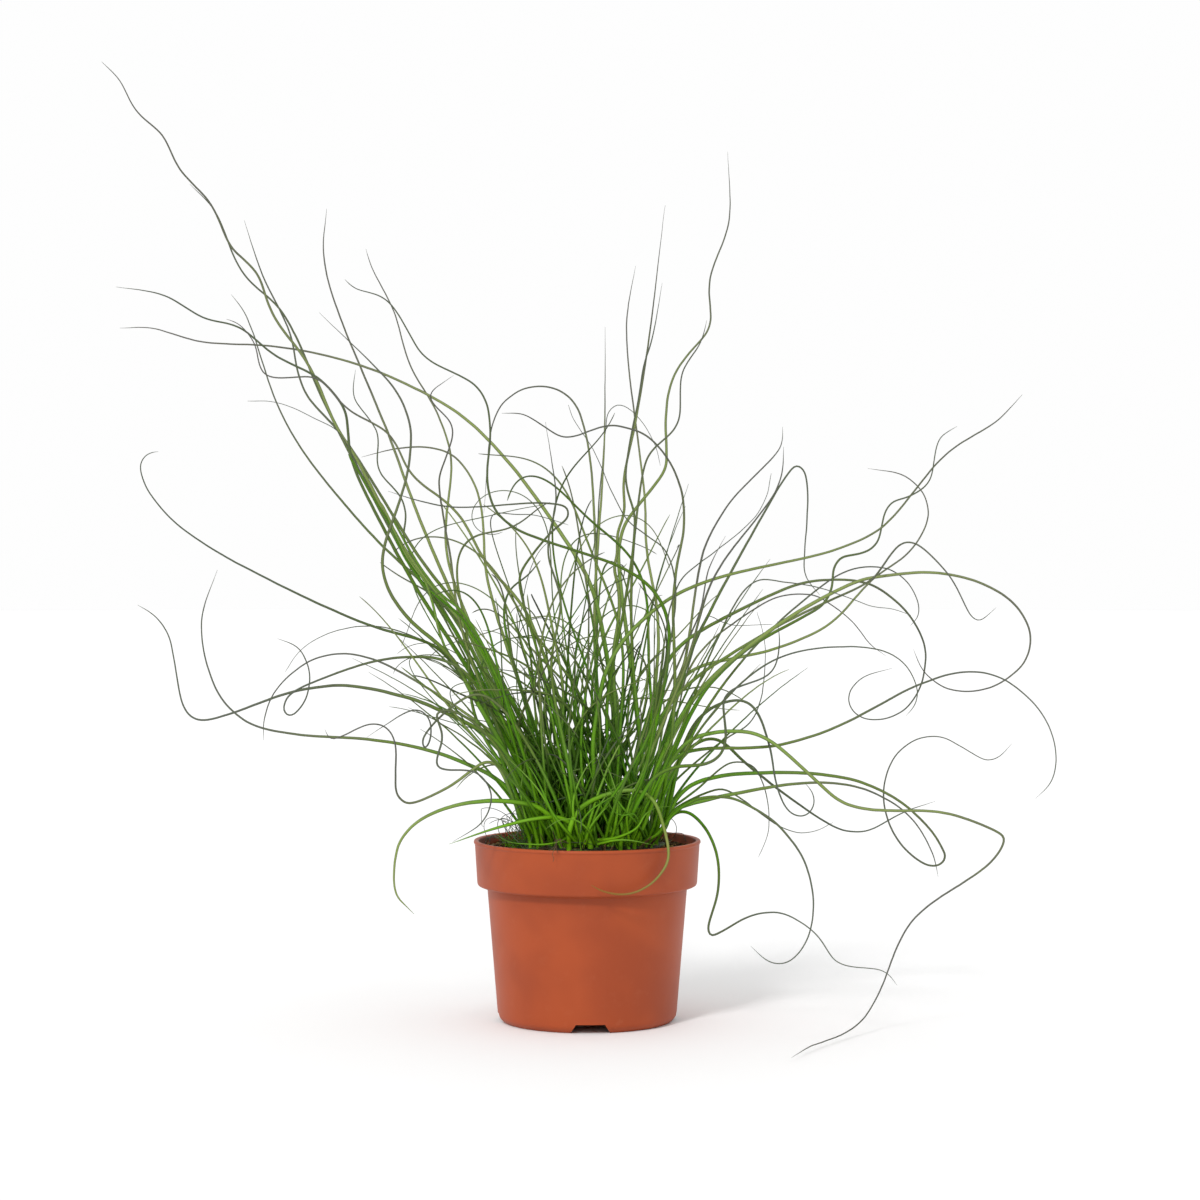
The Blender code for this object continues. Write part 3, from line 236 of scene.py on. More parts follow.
class Surface(NodeSheet):
    """A material's node tree, with the point on the piece that its patterns are laid out by."""

    def __init__(self, name: str) -> None:
        """Start a material.

        Args:
            name: Its name.
        """
        self.material = bpy.data.materials.new(name)
        self.material.use_nodes = True
        self.material.node_tree.nodes.clear()
        super().__init__(self.material.node_tree)
        self.place = self.node("ShaderNodeTexCoord")["Object"]

    def trait(self, trait: Trait, output: str = "Fac") -> Wire:
        """A value that the mesh carries."""
        settings = {"attribute_name": trait.value, "attribute_type": "GEOMETRY"}
        return self.node("ShaderNodeAttribute", settings)[output]

    def speckle(self, size: float, detail: float = 3.0, roughness: float = 0.5) -> Wire:
        """Cloudy noise over the piece.

        Args:
            size: The clouds' size, in metres.
            detail: How many finer layers lie on them.
            roughness: How strong those layers are.

        Returns:
            A value from 0 to 1, mostly near the middle.
        """
        sockets = {"Vector": self.place, "Scale": 1.0 / size, "Detail": detail,
                   "Roughness": roughness}
        return self.node("ShaderNodeTexNoise", {}, sockets)["Fac"]

    def spread(self, value: Wire, low: float, high: float) -> Wire:
        """Turn a value into a smooth share.

        Args:
            value: The value.
            low: Where the share is 0.
            high: Where it is 1.

        Returns:
            The share.
        """
        sockets = {"Value": value, "From Min": low, "From Max": high}
        settings = {"interpolation_type": "SMOOTHSTEP"}
        return self.node("ShaderNodeMapRange", settings, sockets)["Result"]

    def blend(self, share: Number, first: Any, second: Any) -> Wire:
        """A colour between two, by a share from 0 to 1."""
        sockets = {"Factor": share, "A": first, "B": second}
        return self.node("ShaderNodeMix", {"data_type": "RGBA"}, sockets)["Result"]

    def close(self, colour: Wire, rough: Wire, relief: Wire | None = None, depth: float = 0.0,
              gloss: float | None = None) -> bpy.types.Material:
        """End the material in one Principled shader.

        Args:
            colour: The base colour.
            rough: The roughness.
            relief: The surface's relief, from 0 to 1, or None where it is flat.
            depth: The relief's depth, in metres.
            gloss: The strength of its shine, or None for the shader's own.

        Returns:
            The material.
        """
        sockets = {"Base Color": colour, "Roughness": rough}
        if gloss is not None:
            sockets["Specular IOR Level"] = gloss
        if relief is not None:
            bump = {"Height": relief, "Distance": depth, "Strength": 1.0}
            sockets["Normal"] = self.node("ShaderNodeBump", {}, bump)["Normal"]
        shader = self.node("ShaderNodeBsdfPrincipled", {}, sockets)["BSDF"]
        self.node("ShaderNodeOutputMaterial", {}, {"Surface": shader})
        return self.material


@dataclass(frozen=True)
class PotPlastic:
    """Terracotta-coloured moulded plastic: semi-matt, faintly blotched, paler where dust lies."""

    name: str = "terracotta_plastic"
    colour: Colour = (0.350, 0.060, 0.0135)
    deep: Colour = (0.300, 0.050, 0.0120)
    chalky: Colour = (0.42, 0.120, 0.052)
    gloss: float = 0.28
    relief: float = 0.035 * MM
    dusty_height: float = 9 * MM

    def material(self) -> bpy.types.Material:
        """Build the finish.

        Returns:
            The material, with most dust round the foot.
        """
        surface = Surface(self.name)
        clouds = surface.speckle(38 * MM, 2.0)
        grain = surface.speckle(1.6 * MM, 2.0)
        dust = surface.speckle(9 * MM, 5.0, 0.65)
        height = surface.parts(surface.place)["Z"]
        foot = 1 - surface.spread(height, 0.5 * MM, self.dusty_height)
        colour = surface.blend(surface.spread(clouds, 0.38, 0.66), self.colour, self.deep)
        chalk = (surface.spread(dust, 0.52, 0.78) * (0.14 + 0.5 * foot)).clipped()
        colour = surface.blend(chalk, colour, self.chalky)
        rough = 0.40 + 0.10 * clouds + 0.06 * dust
        return surface.close(colour, rough, 0.55 * grain + 0.45 * dust, self.relief, self.gloss)


@dataclass(frozen=True)
class SoilFinish:
    """Moist peat: nearly black, with brown crumbs and tan fibres in it."""

    name: str = "potting_soil"
    wet: Colour = (0.013, 0.008, 0.0025)
    brown: Colour = (0.078, 0.040, 0.011)
    tan: Colour = (0.24, 0.15, 0.045)
    gloss: float = 0.12
    relief: float = 0.5 * MM

    def material(self) -> bpy.types.Material:
        """Build the finish.

        Returns:
            The material, in which some crumbs are tan all over.
        """
        surface = Surface(self.name)
        clods = surface.speckle(3.2 * MM, 6.0, 0.7)
        specks = surface.speckle(0.7 * MM, 3.0, 0.6)
        pale = surface.spread(surface.trait(Trait.SHADE), 0.72, 1.0)
        colour = surface.blend(surface.spread(clods, 0.40, 0.66), self.wet, self.brown)
        colour = surface.blend(surface.spread(specks, 0.60, 0.72) * 0.6, colour, self.tan)
        colour = surface.blend(pale * 0.8, colour, self.tan)
        rough = 0.78 + 0.2 * clods
        return surface.close(colour, rough, 0.6 * clods + 0.4 * specks, self.relief, self.gloss)


@dataclass(frozen=True)
class RushGreen:
    """A rush stem's skin: fresh green near the foot, olive further up, grey-green at the tip."""

    name: str = "rush_green"
    tip: Colour = (0.112, 0.110, 0.096)
    grey: Colour = (0.114, 0.122, 0.072)
    olive: Colour = (0.102, 0.160, 0.017)
    green: Colour = (0.097, 0.270, 0.003)
    fresh: Colour = (0.174, 0.412, 0.004)
    # A painted highlight: the yellowish green of a lit stem.
    painted_highlight: Colour = (0.262, 0.322, 0.105)
    # Dark green for the strands' own darker tone, and for painted shade in the tuft's core.
    deep: Colour = (0.011, 0.092, 0.001)
    # Painted shade at the stems' edges: grey on faded stems, dark green on fresh ones.
    grey_edge_shade: Colour = (0.040, 0.050, 0.026)
    green_edge_shade: Colour = (0.020, 0.080, 0.001)
    straw: Colour = (0.230, 0.110, 0.020)
    gloss: float = 0.18
    relief: float = 0.05 * MM
    rib_count: float = 11.0
    core_shade_reach: Range = (12 * MM, 46 * MM)
    core_shade_height: Range = (118 * MM, 215 * MM)

    def painted_core_shade(self, surface: Surface) -> Wire:
        """The share of painted shade low in the middle of the tuft, at a place.

        Args:
            surface: The material's sheet.

        Returns:
            A value from 0, outside and over the tuft, to 1, low down in its middle.
        """
        spot = surface.parts(surface.place)
        reach = (spot["X"] ** 2 + spot["Y"] ** 2) ** 0.5
        inside = 1 - surface.spread(reach, *self.core_shade_reach)
        return inside * (1 - surface.spread(spot["Z"], *self.core_shade_height))

    def ribs(self, surface: Surface) -> Wire:
        """The fine ribs that run along a stem.

        Args:
            surface: The material's sheet.

        Returns:
            A value from 0, between the ribs, to 1, on them.
        """
        around = surface.parts(surface.trait(Trait.AROUND, "Vector"))
        turn = surface.maths("ARCTAN2", around["Y"], around["X"])
        return 0.5 + 0.5 * surface.maths("SINE", turn * self.rib_count)

    def material(self) -> bpy.types.Material:
        """Build the finish.

        Returns:
            The material, coloured by each strand's traits, with painted shade and highlights.
        """
        surface = Surface(self.name)
        vigour, shade = surface.trait(Trait.VIGOUR), surface.trait(Trait.SHADE)
        patches, flecks = surface.speckle(16 * MM), surface.speckle(1.1 * MM)
        greyed = (2.16 - vigour) * surface.trait(Trait.ALONG) ** 0.85
        fade = (1.04 - greyed + 0.30 * (patches - 0.5)).clipped()
        stops = [(0.0, self.tip), (0.26, self.grey), (0.50, self.olive), (0.74, self.green),
                 (1.0, self.fresh)]
        colour = surface.node("ShaderNodeValToRGB", {"stops": stops}, {"Fac": fade})["Color"]
        # Painted highlight: pale strands partway up blend towards a lit yellowish green.
        midway = surface.spread(fade, 0.10, 0.40) * (1 - surface.spread(fade, 0.55, 0.95))
        highlight_share = 0.64 * midway * surface.spread(shade, 0.42, 1.0)
        colour = surface.blend(highlight_share, colour, self.painted_highlight)
        # Painted shade: low in the tuft's middle, stems blend towards the deep green as if shaded
        # by the others, bright blades aside; each strand's own darker tone adds to it.
        painted_core_shade = self.painted_core_shade(surface) * (1 - surface.spread(vigour, 1.45, 1.65))
        colour = surface.blend((0.44 * (1 - shade) + 0.42 * painted_core_shade).clipped(), colour, self.deep)
        flecked = 0.25 * surface.spread(flecks, 0.55, 0.75) * fade
        colour = surface.blend(flecked, colour, self.fresh)
        # Painted shade: each stem darkens towards its edges as seen, by the Layer Weight facing
        # value.
        edge = surface.blend(surface.spread(fade, 0.35, 0.80), self.grey_edge_shade, self.green_edge_shade)
        slant = surface.node("ShaderNodeLayerWeight", {}, {"Blend": 0.5})["Facing"]
        colour = surface.blend(0.70 * surface.spread(slant, 0.06, 0.62), colour, edge)
        colour = surface.blend(surface.trait(Trait.WITHER).clipped(), colour, self.straw)
        ribs = self.ribs(surface)
        rough = 0.42 + 0.22 * patches + 0.08 * ribs
        return surface.close(colour, rough, 0.65 * ribs + 0.35 * flecks, self.relief, self.gloss)


@dataclass(frozen=True)
class DryFibre:
    """Dead sheaths, straws and rootlets: tan to dark brown by each strand's vigour."""

    name: str = "dry_fibre"
    dark: Colour = (0.035, 0.018, 0.008)
    tan: Colour = (0.28, 0.185, 0.055)
    relief: float = 0.12 * MM

    def material(self) -> bpy.types.Material:
        """Build the finish.

        Returns:
            The material.
        """
        surface = Surface(self.name)
        streaks = surface.speckle(2.2 * MM, 4.0)
        share = (surface.trait(Trait.VIGOUR) + 0.6 * (streaks - 0.5)).clipped()
        colour = surface.blend(share, self.dark, self.tan)
        return surface.close(colour, 0.62 + 0.25 * streaks, streaks, self.relief)


@dataclass(frozen=True)
class CrownFinish:
    """The crown's matted top: dark humus between old green and tan sheath ends."""

    name: str = "crown_green"
    humus: Colour = (0.016, 0.012, 0.006)
    moss: Colour = (0.045, 0.085, 0.012)
    sheath: Colour = (0.15, 0.115, 0.04)
    relief: float = 0.6 * MM

    def material(self) -> bpy.types.Material:
        """Build the finish.

        Returns:
            The material.
        """
        surface = Surface(self.name)
        clumps = surface.speckle(5 * MM, 4.0, 0.6)
        fibres = surface.speckle(1.0 * MM, 4.0, 0.6)
        colour = surface.blend(surface.spread(clumps, 0.42, 0.62), self.humus, self.moss)
        colour = surface.blend(surface.spread(fibres, 0.58, 0.72) * 0.7, colour, self.sheath)
        rough = 0.7 + 0.25 * clumps
        return surface.close(colour, rough, 0.5 * clumps + 0.5 * fibres, self.relief)


@dataclass(frozen=True)
class FloorPaint:
    """The studio floor's white paint."""

    name: str = "floor_paint"
    colour: Colour = (0.81, 0.81, 0.81)
    worn: Colour = (0.80, 0.80, 0.80)
    cloud_size: float = 0.7

    def material(self) -> bpy.types.Material:
        """Build the finish.

        Returns:
            The material.
        """
        surface = Surface(self.name)
        clouds = surface.speckle(self.cloud_size, 2.0)
        colour = surface.blend(clouds, self.colour, self.worn)
        return surface.close(colour, 0.75 + 0.1 * clouds)


def settle(piece: bpy.types.Object) -> bpy.types.Mesh:
    """Turn what a piece's modifiers make of it into its plain mesh.

    Args:
        piece: The piece, which loses its modifiers.

    Returns:
        Its new mesh.
    """
    graph = bpy.context.evaluated_depsgraph_get()
    mesh = bpy.data.meshes.new_from_object(piece.evaluated_get(graph), depsgraph=graph)
    piece.modifiers.clear()
    piece.data = mesh
    return mesh


class ShapeTree(NodeSheet):
    """A Geometry Nodes tree with named inputs, which turns a mesh into a finished one."""

    KINDS = {float: "NodeSocketFloat", int: "NodeSocketInt", "material": "NodeSocketMaterial"}

    def __init__(self, name: str, sizes: Mapping[str, Any]) -> None:
        """Start a tree.

        Args:
            name: The tree's name.
            sizes: Each named input's type, or "material".
        """
        super().__init__(bpy.data.node_groups.new(name, "GeometryNodeTree"))
        interface = self.tree.interface
        interface.new_socket("Geometry", in_out="INPUT", socket_type="NodeSocketGeometry")
        self.identifiers = {}
        for size, kind in sizes.items():
            socket = interface.new_socket(size, in_out="INPUT", socket_type=self.KINDS[kind])
            self.identifiers[size] = socket.identifier
        interface.new_socket("Geometry", in_out="OUTPUT", socket_type="NodeSocketGeometry")
        self.given = self.node("NodeGroupInput")

    def store(self, geometry: Wire, trait: Trait, kind: str, value: Any,
              domain: str = "POINT") -> Wire:
        """Keep a value on the geometry.

        Args:
            geometry: The geometry.
            trait: The trait that it is kept as.
            kind: Its data type.
            value: The value, for each element.
            domain: The elements that carry it.

        Returns:
            The geometry with the value on it.
        """
        settings = {"data_type": kind, "domain": domain}
        sockets = {"Geometry": geometry, "Name": trait.value, "Value": value}
        return self.node("GeometryNodeStoreNamedAttribute", settings, sockets)["Geometry"]

    def close(self, geometry: Wire) -> None:
        """End the tree with real geometry in the material of the Material input.

        Args:
            geometry: What the tree has made.
        """
        real = self.node("GeometryNodeRealizeInstances", {}, {"Geometry": geometry})["Geometry"]
        sockets = {"Geometry": real, "Material": self.given["Material"]}
        dressed = self.node("GeometryNodeSetMaterial", {}, sockets)["Geometry"]
        self.node("NodeGroupOutput", {}, {"Geometry": dressed})

    def shape(self, name: str, mesh: bpy.types.Mesh, sizes: Mapping[str, Any]) -> bpy.types.Object:
        """Run the tree on a mesh.

        Args:
            name: The new piece's name.
            mesh: What the tree starts from.
            sizes: A value for each named input.

        Returns:
            An object at the origin that holds the result as a plain mesh.
        """
        piece = bpy.data.objects.new(name, mesh)
        bpy.context.scene.collection.objects.link(piece)
        modifier = piece.modifiers.new(self.tree.name, "NODES")
        modifier.node_group = self.tree
        for size, value in sizes.items():
            modifier[self.identifiers[size]] = value
        settle(piece).name = name
        bpy.data.meshes.remove(mesh)
        return piece


@dataclass
class Strand:
    """One stem, shoot or fibre: its centreline, its radius at each point and the state of its skin.

    Vigour says how fresh its green is, shade runs from 0, dark, to 1, pale, and wither says how far
    the tip has turned to straw.
    """

    points: np.ndarray
    girths: np.ndarray
    vigour: float
    shade: float = 0.5
    wither: float = 0.0

    def along(self) -> np.ndarray:
        """Each point's share of the way from foot to tip."""
        reached = distances(self.points)
        return reached / reached[-1]


class StrandTree(ShapeTree):
    """Sweeps a round section along strands, through smooth curves."""

    WAVER_SCALE = 90.0  # the noise that a centreline strays by, in clouds per metre

    def __init__(self) -> None:
        """Build the tree."""
        super().__init__("strand_sweep", {"Sides": int, "Spacing": float, "Waver": float,
                                          "Material": "material"})
        given = self.given
        curve = self.node("GeometryNodeMeshToCurve", {}, {"Mesh": given["Geometry"]})["Curve"]
        curve = self.node("GeometryNodeCurveSplineType", {"spline_type": "CATMULL_ROM"},
                          {"Curve": curve})["Curve"]
        curve = self.node("GeometryNodeResampleCurve", {"mode": "LENGTH"},
                          {"Curve": curve, "Length": given["Spacing"]})["Curve"]
        place = self.node("GeometryNodeInputPosition")["Position"]
        clouds = {"Vector": place, "Scale": self.WAVER_SCALE, "Detail": 2.0}
        drift = self.node("ShaderNodeTexNoise", {}, clouds)["Color"]
        drift = self.vector("SUBTRACT", {0: drift, 1: (0.5, 0.5, 0.5)})
        drift = self.vector("SCALE", {0: drift, "Scale": given["Waver"]})
        curve = self.node("GeometryNodeSetPosition", {},
                          {"Geometry": curve, "Offset": drift})["Geometry"]
        ring = self.node("GeometryNodeCurvePrimitiveCircle", {"mode": "RADIUS"},
                         {"Resolution": given["Sides"], "Radius": 1.0})["Curve"]
        ring = self.store(ring, Trait.AROUND, "FLOAT_VECTOR",
                          self.node("GeometryNodeInputPosition")["Position"])
        girth = self.node("GeometryNodeInputNamedAttribute", {"data_type": "FLOAT"},
                          {"Name": Trait.GIRTH.value})["Attribute"]
        swept = self.node("GeometryNodeCurveToMesh", {},
                          {"Curve": curve, "Profile Curve": ring, "Scale": girth,
                           "Fill Caps": True})["Mesh"]
        self.close(self.node("GeometryNodeSetShadeSmooth", {}, {"Geometry": swept})["Geometry"])

    def grow(self, name: str, strands: Sequence[Strand], material: bpy.types.Material,
             sides: int = 8, spacing: float = 1.6 * MM, waver: float = 0.0) -> bpy.types.Object:
        """Make one piece of some strands.

        Args:
            name: The piece's name.
            strands: The strands in it.
            material: Their finish.
            sides: The number of sides round each one.
            spacing: The distance between rings.
            waver: How far each centreline strays, in metres.

        Returns:
            The piece, a plain mesh.
        """
        mesh = bpy.data.meshes.new(name + "_lines")
        points = np.vstack([strand.points for strand in strands])
        owner = np.repeat(np.arange(len(strands)), [len(strand.points) for strand in strands])
        starts = np.flatnonzero(owner[:-1] == owner[1:])
        mesh.from_pydata(points.tolist(), np.column_stack([starts, starts + 1]).tolist(), [])
        values = {
            Trait.GIRTH: np.concatenate([strand.girths for strand in strands]),
            Trait.ALONG: np.concatenate([strand.along() for strand in strands]),
            Trait.VIGOUR: np.array([strand.vigour for strand in strands])[owner],
            Trait.SHADE: np.array([strand.shade for strand in strands])[owner],
            Trait.WITHER: np.concatenate([one.wither * one.along() ** 3 for one in strands]),
        }
        for trait, numbers in values.items():
            layer = mesh.attributes.new(trait.value, "FLOAT", "POINT")
            layer.data.foreach_set("value", numbers.astype(np.float32))
        return self.shape(name, mesh, {"Sides": sides, "Spacing": spacing, "Waver": waver,
                                       "Material": material})


class CrumbTree(ShapeTree):
    """Scatters small uneven lumps over a surface."""

    FLATTEST, ROUNDEST = (0.55, 0.55, 0.4), (1.3, 1.1, 0.9)

    def __init__(self) -> None:
        """Build the tree."""
        super().__init__("crumb_scatter", {"Density": float, "Smallest": float, "Largest": float,
                                           "Seed": int, "Material": "material"})
        given = self.given
        spots = self.node("GeometryNodeDistributePointsOnFaces", {"distribute_method": "RANDOM"},
                          {"Mesh": given["Geometry"], "Density": given["Density"],
                           "Seed": given["Seed"]})
        lump = self.node("GeometryNodeMeshIcoSphere", {}, {"Radius": 1.0, "Subdivisions": 1})
        size = self._chance("FLOAT", given["Smallest"], given["Largest"], 1)
        squash = self._chance("FLOAT_VECTOR", self.FLATTEST, self.ROUNDEST, 2)
        scale = self.vector("SCALE", {0: squash, "Scale": size})
        turn = self._chance("FLOAT_VECTOR", (0.0, 0.0, 0.0), (math.tau, math.tau, math.tau), 3)
        turned = self.node("FunctionNodeEulerToRotation", {}, {"Euler": turn})["Rotation"]
        lumps = self.node("GeometryNodeInstanceOnPoints", {},
                          {"Points": spots["Points"], "Instance": lump["Mesh"],
                           "Rotation": turned, "Scale": scale})
        shade = self._chance("FLOAT", 0.0, 1.0, 4)
        self.close(self.store(lumps["Instances"], Trait.SHADE, "FLOAT", shade, "INSTANCE"))

    def _chance(self, kind: str, low: Any, high: Any, seed: int) -> Wire:
        """A random value for each lump."""
        sockets = {"Min": low, "Max": high, "Seed": seed}
        return self.node("FunctionNodeRandomValue", {"data_type": kind}, sockets)["Value"]


def distances(points: np.ndarray) -> np.ndarray:
    """Each point's distance from the first one along the line that they make."""
    steps = np.linalg.norm(np.diff(points, axis=0), axis=1)
    return np.concatenate([[0.0], np.cumsum(steps)])


def catmull_rom(points: Route, spacing: float) -> np.ndarray:
    """Fill in a smooth curve through some points.

    Args:
        points: The points, each of two numbers or more.
        spacing: The distance between the points that are filled in.

    Returns:
        The filled-in points, first and last ones kept.
    """
    given = np.asarray(points, float)
    padded = np.vstack([2 * given[0] - given[1], given, 2 * given[-1] - given[-2]])
    curve = []
    for a, b, c, d in zip(padded, padded[1:], padded[2:], padded[3:]):
        gaps = [max(np.linalg.norm(q - p), 1e-9) ** 0.5 for p, q in ((a, b), (b, c), (c, d))]
        knots = np.cumsum([0.0] + gaps)
        count = max(2, int(np.linalg.norm(c - b) / spacing))
        t = np.linspace(knots[1], knots[2], count, endpoint=False)[:, None]
        ab = a + (b - a) * t / knots[1]
        bc = b + (c - b) * (t - knots[1]) / (knots[2] - knots[1])
        cd = c + (d - c) * (t - knots[2]) / (knots[3] - knots[2])
        abc = ab + (bc - ab) * t / knots[2]
        bcd = bc + (cd - bc) * (t - knots[1]) / (knots[3] - knots[1])
        curve.append(abc + (bcd - abc) * (t - knots[1]) / (knots[2] - knots[1]))
    return np.vstack(curve + [given[-1:]])


def evened(points: np.ndarray, passes: int) -> np.ndarray:
    """Soften the corners of a line of points, its two ends kept.

    Args:
        points: The line's points, one in each row.
        passes: How often each point moves halfway to the middle between its neighbours.

    Returns:
        The softened line.
    """
    for _ in range(passes):
        middle = 0.5 * points[1:-1] + 0.25 * (points[:-2] + points[2:])
        points = np.vstack([points[:1], middle, points[-1:]])
    return points


def pull_in(points: np.ndarray, limit: float) -> None:
    """Draw points back to a distance from the pot's axis, where they lie further out.

    Args:
        points: The points, one in each row, which are moved in place.
        limit: That distance.
    """
    reach = np.linalg.norm(points[:, :2], axis=1)
    points[:, :2] *= np.minimum(1, limit / reach)[:, None]


def tapered(share: np.ndarray, width: float, blunt: float, fall: float = 1.25) -> np.ndarray:
    """Radii in metres along a strand, from its foot's width to its tip's, both in millimetres.

    Args:
        share: Each point's share of the way from foot to tip.
        width: The thickness at the foot.
        blunt: The thickness at the tip.
        fall: How soon it thins: under 1 it keeps its width for longer.

    Returns:
        The radii, the last one nearly a point.
    """
    radii = 0.5 * MM * (blunt + (width - blunt) * (1 - share) ** fall)
    radii[-1] = min(radii[-1], TIP_RADIUS)
    return radii


def seen_at(x: float, z: float, y: float) -> tuple[float, float, float]:
    """The point at depth y that the camera sees at (x, z) on the pot's middle plane."""
    share = (y - EYE[1]) / -EYE[1]
    return x * share, y, EYE[2] + (z - EYE[2]) * share


def drawn_strand(width: float, route: Route, vigour: float, blunt: float = 0.3) -> Strand:
    """A strand along a route that was drawn from the front.

    Args:
        width: Its thickness at the foot, in millimetres.
        route: Its points (x, z) or (x, z, y), in millimetres. Depth runs smoothly between those
            that are set.
        vigour: How fresh its green is.
        blunt: Its thickness at the tip, in millimetres.

    Returns:
        The strand, in metres.
    """
    flat = catmull_rom([point[:2] for point in route], 2.5)
    reached = distances(flat)
    nearest = [np.argmin(np.linalg.norm(flat - point[:2], axis=1)) for point in route]
    known = [(reached[i], point[2]) for i, point in zip(nearest, route) if len(point) == 3]
    depth = catmull_rom(known, 2.0)
    y = np.interp(reached, depth[:, 0], depth[:, 1])
    points = np.array([seen_at(u * MM, v * MM, w * MM) for (u, v), w in zip(flat, y)])
    return Strand(points, tapered(reached / reached[-1], width, blunt), vigour)


def drawn_strands(routes: Iterable[tuple[float, Route]], vigour: float,
                  blunt: float = 0.3) -> list[Strand]:
    """A strand along each of these (width, route) pairs, all alike in freshness and tip."""
    return [drawn_strand(width, route, vigour, blunt) for width, route in routes]


def free_strand(chance: Random, foot: Sequence[float], way: Sequence[float], length: float,
                width: float, habit: Habit, vigour: float, step: float = 3.0 * MM) -> Strand:
    """A strand that grows on from its foot and curls more and more, as this rush does.

    Args:
        chance: Where its random numbers come from.
        foot: Its foot, in metres.
        way: The way that it sets out.
        length: Its length, in metres.
        width: Its thickness at the foot, in millimetres.
        habit: How much it curls.
        vigour: How fresh its green is.
        step: The distance between its points.

    Returns:
        The strand.
    """
    low, high, sway, late = (chance.uniform(*bounds) for bounds in habit.value)
    twist = chance.uniform(-0.5, 0.5) * high
    beat, phase = chance.uniform(20.0, 70.0), chance.uniform(0.0, math.tau)
    ahead = np.array(way, float) / np.linalg.norm(way)
    side = np.cross(ahead, chance.normal(size=3))
    side /= np.linalg.norm(side)
    here = np.array(foot, float)
    points = [here]
    count = max(4, round(length / step))
    for i in range(count):
        share = i / count
        swayed = 1 + sway * math.sin(phase + beat * share * length)
        bend = (low + (high - low) * share ** late) * swayed
        up = np.cross(ahead, side)
        ahead = ahead + bend * step * side
        side = side + step * twist * share * up
        ahead /= np.linalg.norm(ahead)
        side -= (side @ ahead) * ahead
        side /= np.linalg.norm(side)
        here = here + step * ahead
        points.append(here)
    share = np.linspace(0, 1, len(points))
    return Strand(np.array(points), tapered(share, width, min(width, 0.3), 0.75), vigour)


def put_on(piece: bpy.types.Object, slot: str, *nodes: str) -> bpy.types.Object:
    """Let a finished piece ride on the plant.

    Args:
        piece: The piece.
        slot: The record's material slot; not used.
        nodes: The solids that it stands for.

    Returns:
        The same piece.
    """
    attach(piece, "root")
    if nodes:
        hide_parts(*nodes)
    LOG.info("%s: %d faces", piece.name, len(piece.data.polygons))
    return piece


def circle(radius: float, turns: int) -> list[Range]:
    """The x and y of points round the pot's axis."""
    return [(radius * math.cos(math.tau * i / turns), radius * math.sin(math.tau * i / turns))
            for i in range(turns)]


def join_rows(mesh: bmesh.types.BMesh, rows: Sequence[Sequence[bmesh.types.BMVert]]) -> None:
    """Lay faces between rows of points that run once round.

    Args:
        mesh: The mesh that the points are in.
        rows: The rows, one next to the other. A row of one point closes the shape there.
    """
    turns = max(len(row) for row in rows)
    for low, high in zip(rows, rows[1:]):
        for i in range(turns):
            j = (i + 1) % turns
            corners = [low[i % len(low)], high[i % len(high)],
                       high[j % len(high)], low[j % len(low)]]
            mesh.faces.new(list(dict.fromkeys(corners)))


def lathe(profile: Sequence[Range], turns: int) -> bmesh.types.BMesh:
    """Turn a profile round the pot's axis.

    Args:
        profile: (radius, height) points in metres, from the axis round to the axis.
        turns: The number of steps round.

    Returns:
        A closed mesh.
    """
    mesh = bmesh.new()
    rows = [[mesh.verts.new((x, y, height)) for x, y in circle(radius, turns if radius else 1)]
            for radius, height in profile]
    join_rows(mesh, rows)
    bmesh.ops.recalc_face_normals(mesh, faces=mesh.faces)
    return mesh


def rounded(corners: Sequence[tuple[float, float, float]], steps: int = 4) -> list[Range]:
    """Round a profile's corners.

    Args:
        corners: (radius, height, rounding) for each corner.
        steps: The number of steps in each rounding.

    Returns:
        The profile's points.
    """
    points: list[Range] = []
    for i, (x, z, size) in enumerate(corners):
        here = Vector((x, z))
        if size == 0 or i in (0, len(corners) - 1):
            points.append((x, z))
            continue
        before = Vector(corners[i - 1][:2]) - here
        after = Vector(corners[i + 1][:2]) - here
        reach = min(size, 0.45 * before.length, 0.45 * after.length)
        first, last = here + before.normalized() * reach, here + after.normalized() * reach
        for t in (k / steps for k in range(steps + 1)):
            mixed = (1 - t) ** 2 * first + 2 * t * (1 - t) * here + t * t * last
            points.append((mixed.x, mixed.y))
    return points


def to_object(mesh: bmesh.types.BMesh, name: str, material: bpy.types.Material,
              sharp: float = SHARP_ANGLE) -> bpy.types.Object:
    """Make a smooth-shaded object of a bmesh.

    Args:
        mesh: The bmesh, which is freed.
        name: The object's name.
        material: Its finish.
        sharp: The angle over which an edge stays sharp, in radians.

    Returns:
        The object, at the origin.
    """
    data = bpy.data.meshes.new(name)
    mesh.to_mesh(data)
    mesh.free()
    data.materials.append(material)
    data.shade_smooth()
    data.set_sharp_from_angle(angle=sharp)
    piece = bpy.data.objects.new(name, data)
    bpy.context.scene.collection.objects.link(piece)
    return piece


